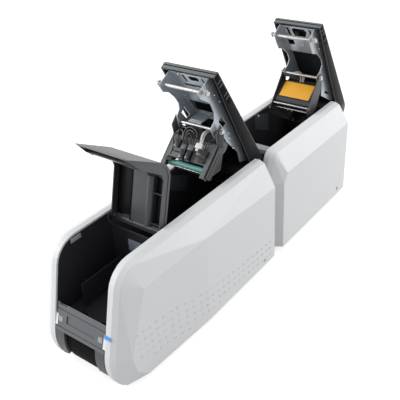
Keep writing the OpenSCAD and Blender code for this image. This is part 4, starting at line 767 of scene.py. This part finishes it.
# Each box of the tab: low, high and edge cut
wallTab = [((wallX, -270, 180), (-47.0, -251, 187), 0.5), ((wallX, -266, 182), (-46.7, -255, 184.4), 0.4)]
makePiece("wall_tab", "housing", "buttonGrey", [(boxShape(*box), here) for box in wallTab])
patch = {"plate": ((-16, -194.2, 135), (8, -192.3, 154)), "cut": 0.3, "screwXs": (-13, 5),
         "screwY": -194.1, "screwZ": 144.5, "screwSides": 16}
patchScrew = [(0, 0), (1.4, 0), (1.2, 0.5), (0, 0.5)]
makePiece("bulkhead_patch", "housing", "patchBlue",
          [(boxShape(*patch["plate"], patch["cut"]), here)]
          + [(turnedShape(patchScrew, patch["screwSides"]), alongFront(x, patch["screwY"], patch["screwZ"]))
             for x in patch["screwXs"]])
rear = {"sheet": ((-48.6, 330.4, 62), (48.6, 331.6, 130.4)), "sheetCut": 0.4,
        "ribXs": (-36, -18, 0, 18, 36), "ribHalf": 0.8, "ribY": (328.6, 330.6), "ribZ": (64, 126),
        "ribCut": 0.3}
makePiece("rear_lining", "housing", "carrierGrey",
          [(boxShape(*rear["sheet"], rear["sheetCut"]), here)]
          + [(boxShape((x - rear["ribHalf"], rear["ribY"][0], rear["ribZ"][0]),
                       (x + rear["ribHalf"], rear["ribY"][1], rear["ribZ"][1]), rear["ribCut"]), here)
             for x in rear["ribXs"]])
print("linings and small fittings placed")


# Camera, measured in the photograph
camera = {"place": (0.5192, -0.7002, 0.6573), "right": (0.8044, 0.5918, -0.0527),
          "down": (0.273, -0.4469, -0.8519), "ahead": (-0.5277, 0.6708, -0.5211),
          "lens": 55.02, "sensor": 36}
camData = bpy.data.cameras.new("camera")
camData.lens = camera["lens"]
camData.sensor_width = camera["sensor"]
camObject = bpy.data.objects.new("camera", camData)
bpy.context.scene.collection.objects.link(camObject)
turn = Matrix((camera["right"], [-v for v in camera["down"]], [-v for v in camera["ahead"]])).transposed()
camObject.matrix_world = Matrix.Translation(camera["place"]) @ turn.to_4x4()
bpy.context.scene.camera = camObject


# Floor, sky and lamps
def plainLight(name, place, target, size, power):
    data = bpy.data.lights.new(name, "AREA")
    data.shape = "RECTANGLE"
    data.size, data.size_y = size
    data.energy = power
    lamp = bpy.data.objects.new(name, data)
    lamp.matrix_world = (Matrix.Translation(place)
                         @ (Vector(target) - Vector(place)).to_track_quat("-Z", "Y").to_matrix().to_4x4())
    bpy.context.scene.collection.objects.link(lamp)


lamps = {"topLamp": {"place": (0.1, -0.1, 1.9), "target": (0, 0, 0.1), "size": (1.6, 1.8), "power": 4.0},
         "frontLamp": {"place": (-2.2, -1.3, 1.15), "target": (0, 0, 0.15), "size": (2.0, 1.4),
                       "power": 60.0},
         "sideLamp": {"place": (1.4, 1.8, 0.95), "target": (0, 0, 0.15), "size": (2.0, 1.4),
                      "power": 31.0}}
for name, lamp in lamps.items():
    plainLight(name, **lamp)

studio = {"white": (1, 1, 1, 1), "sky": 0.68, "paper": 1.0, "floorHalf": 9,
          "floorColour": (0.45, 0.45, 0.45, 1), "floorRoughness": 0.9, "floorGlow": 0.73}


def backgroundNode(tree, strength):
    node = tree.nodes.new("ShaderNodeBackground")
    node.inputs["Color"].default_value = studio["white"]
    node.inputs["Strength"].default_value = strength
    return node


# 1 where either kind of ray looks, else 0
def seenBy(tree, *kinds):
    rays = tree.nodes.new("ShaderNodeLightPath")
    return mathNode(tree, "MAXIMUM", *[rays.outputs[kind] for kind in kinds])


world = bpy.data.worlds.new("studio")
bpy.context.scene.world = world
world.use_nodes = True
sky = world.node_tree
for old in list(sky.nodes):
    sky.nodes.remove(old)
skyOut = sky.nodes.new("ShaderNodeOutputWorld")
pick = sky.nodes.new("ShaderNodeMixShader")
link(sky, seenBy(sky, "Is Camera Ray", "Is Transmission Ray"), pick.inputs["Fac"])
link(sky, backgroundNode(sky, studio["sky"]).outputs[0], pick.inputs[1])
link(sky, backgroundNode(sky, studio["paper"]).outputs[0], pick.inputs[2])
link(sky, pick.outputs[0], skyOut.inputs["Surface"])

side = studio["floorHalf"]
floorMesh = bpy.data.meshes.new("floor")
floorMesh.from_pydata([(-side, -side, 0), (side, -side, 0), (side, side, 0), (-side, side, 0)], [],
                      [(0, 1, 2, 3)])
floorPiece = bpy.data.objects.new("floor", floorMesh)
bpy.context.scene.collection.objects.link(floorPiece)
floorMat = bpy.data.materials.new("paleFloor")
floorMat.use_nodes = True
floorTree = floorMat.node_tree
floorShader = floorTree.nodes["Principled BSDF"]
floorShader.inputs["Base Color"].default_value = studio["floorColour"]
floorShader.inputs["Roughness"].default_value = studio["floorRoughness"]
floorShader.inputs["Emission Color"].default_value = studio["white"]
floorSeen = seenBy(floorTree, "Is Camera Ray", "Is Glossy Ray")
link(floorTree, mathNode(floorTree, "MULTIPLY", floorSeen, studio["floorGlow"]),
     floorShader.inputs["Emission Strength"])
floorMesh.materials.append(floorMat)
bpy.context.scene.view_settings.view_transform = "Standard"
print("camera and studio placed")
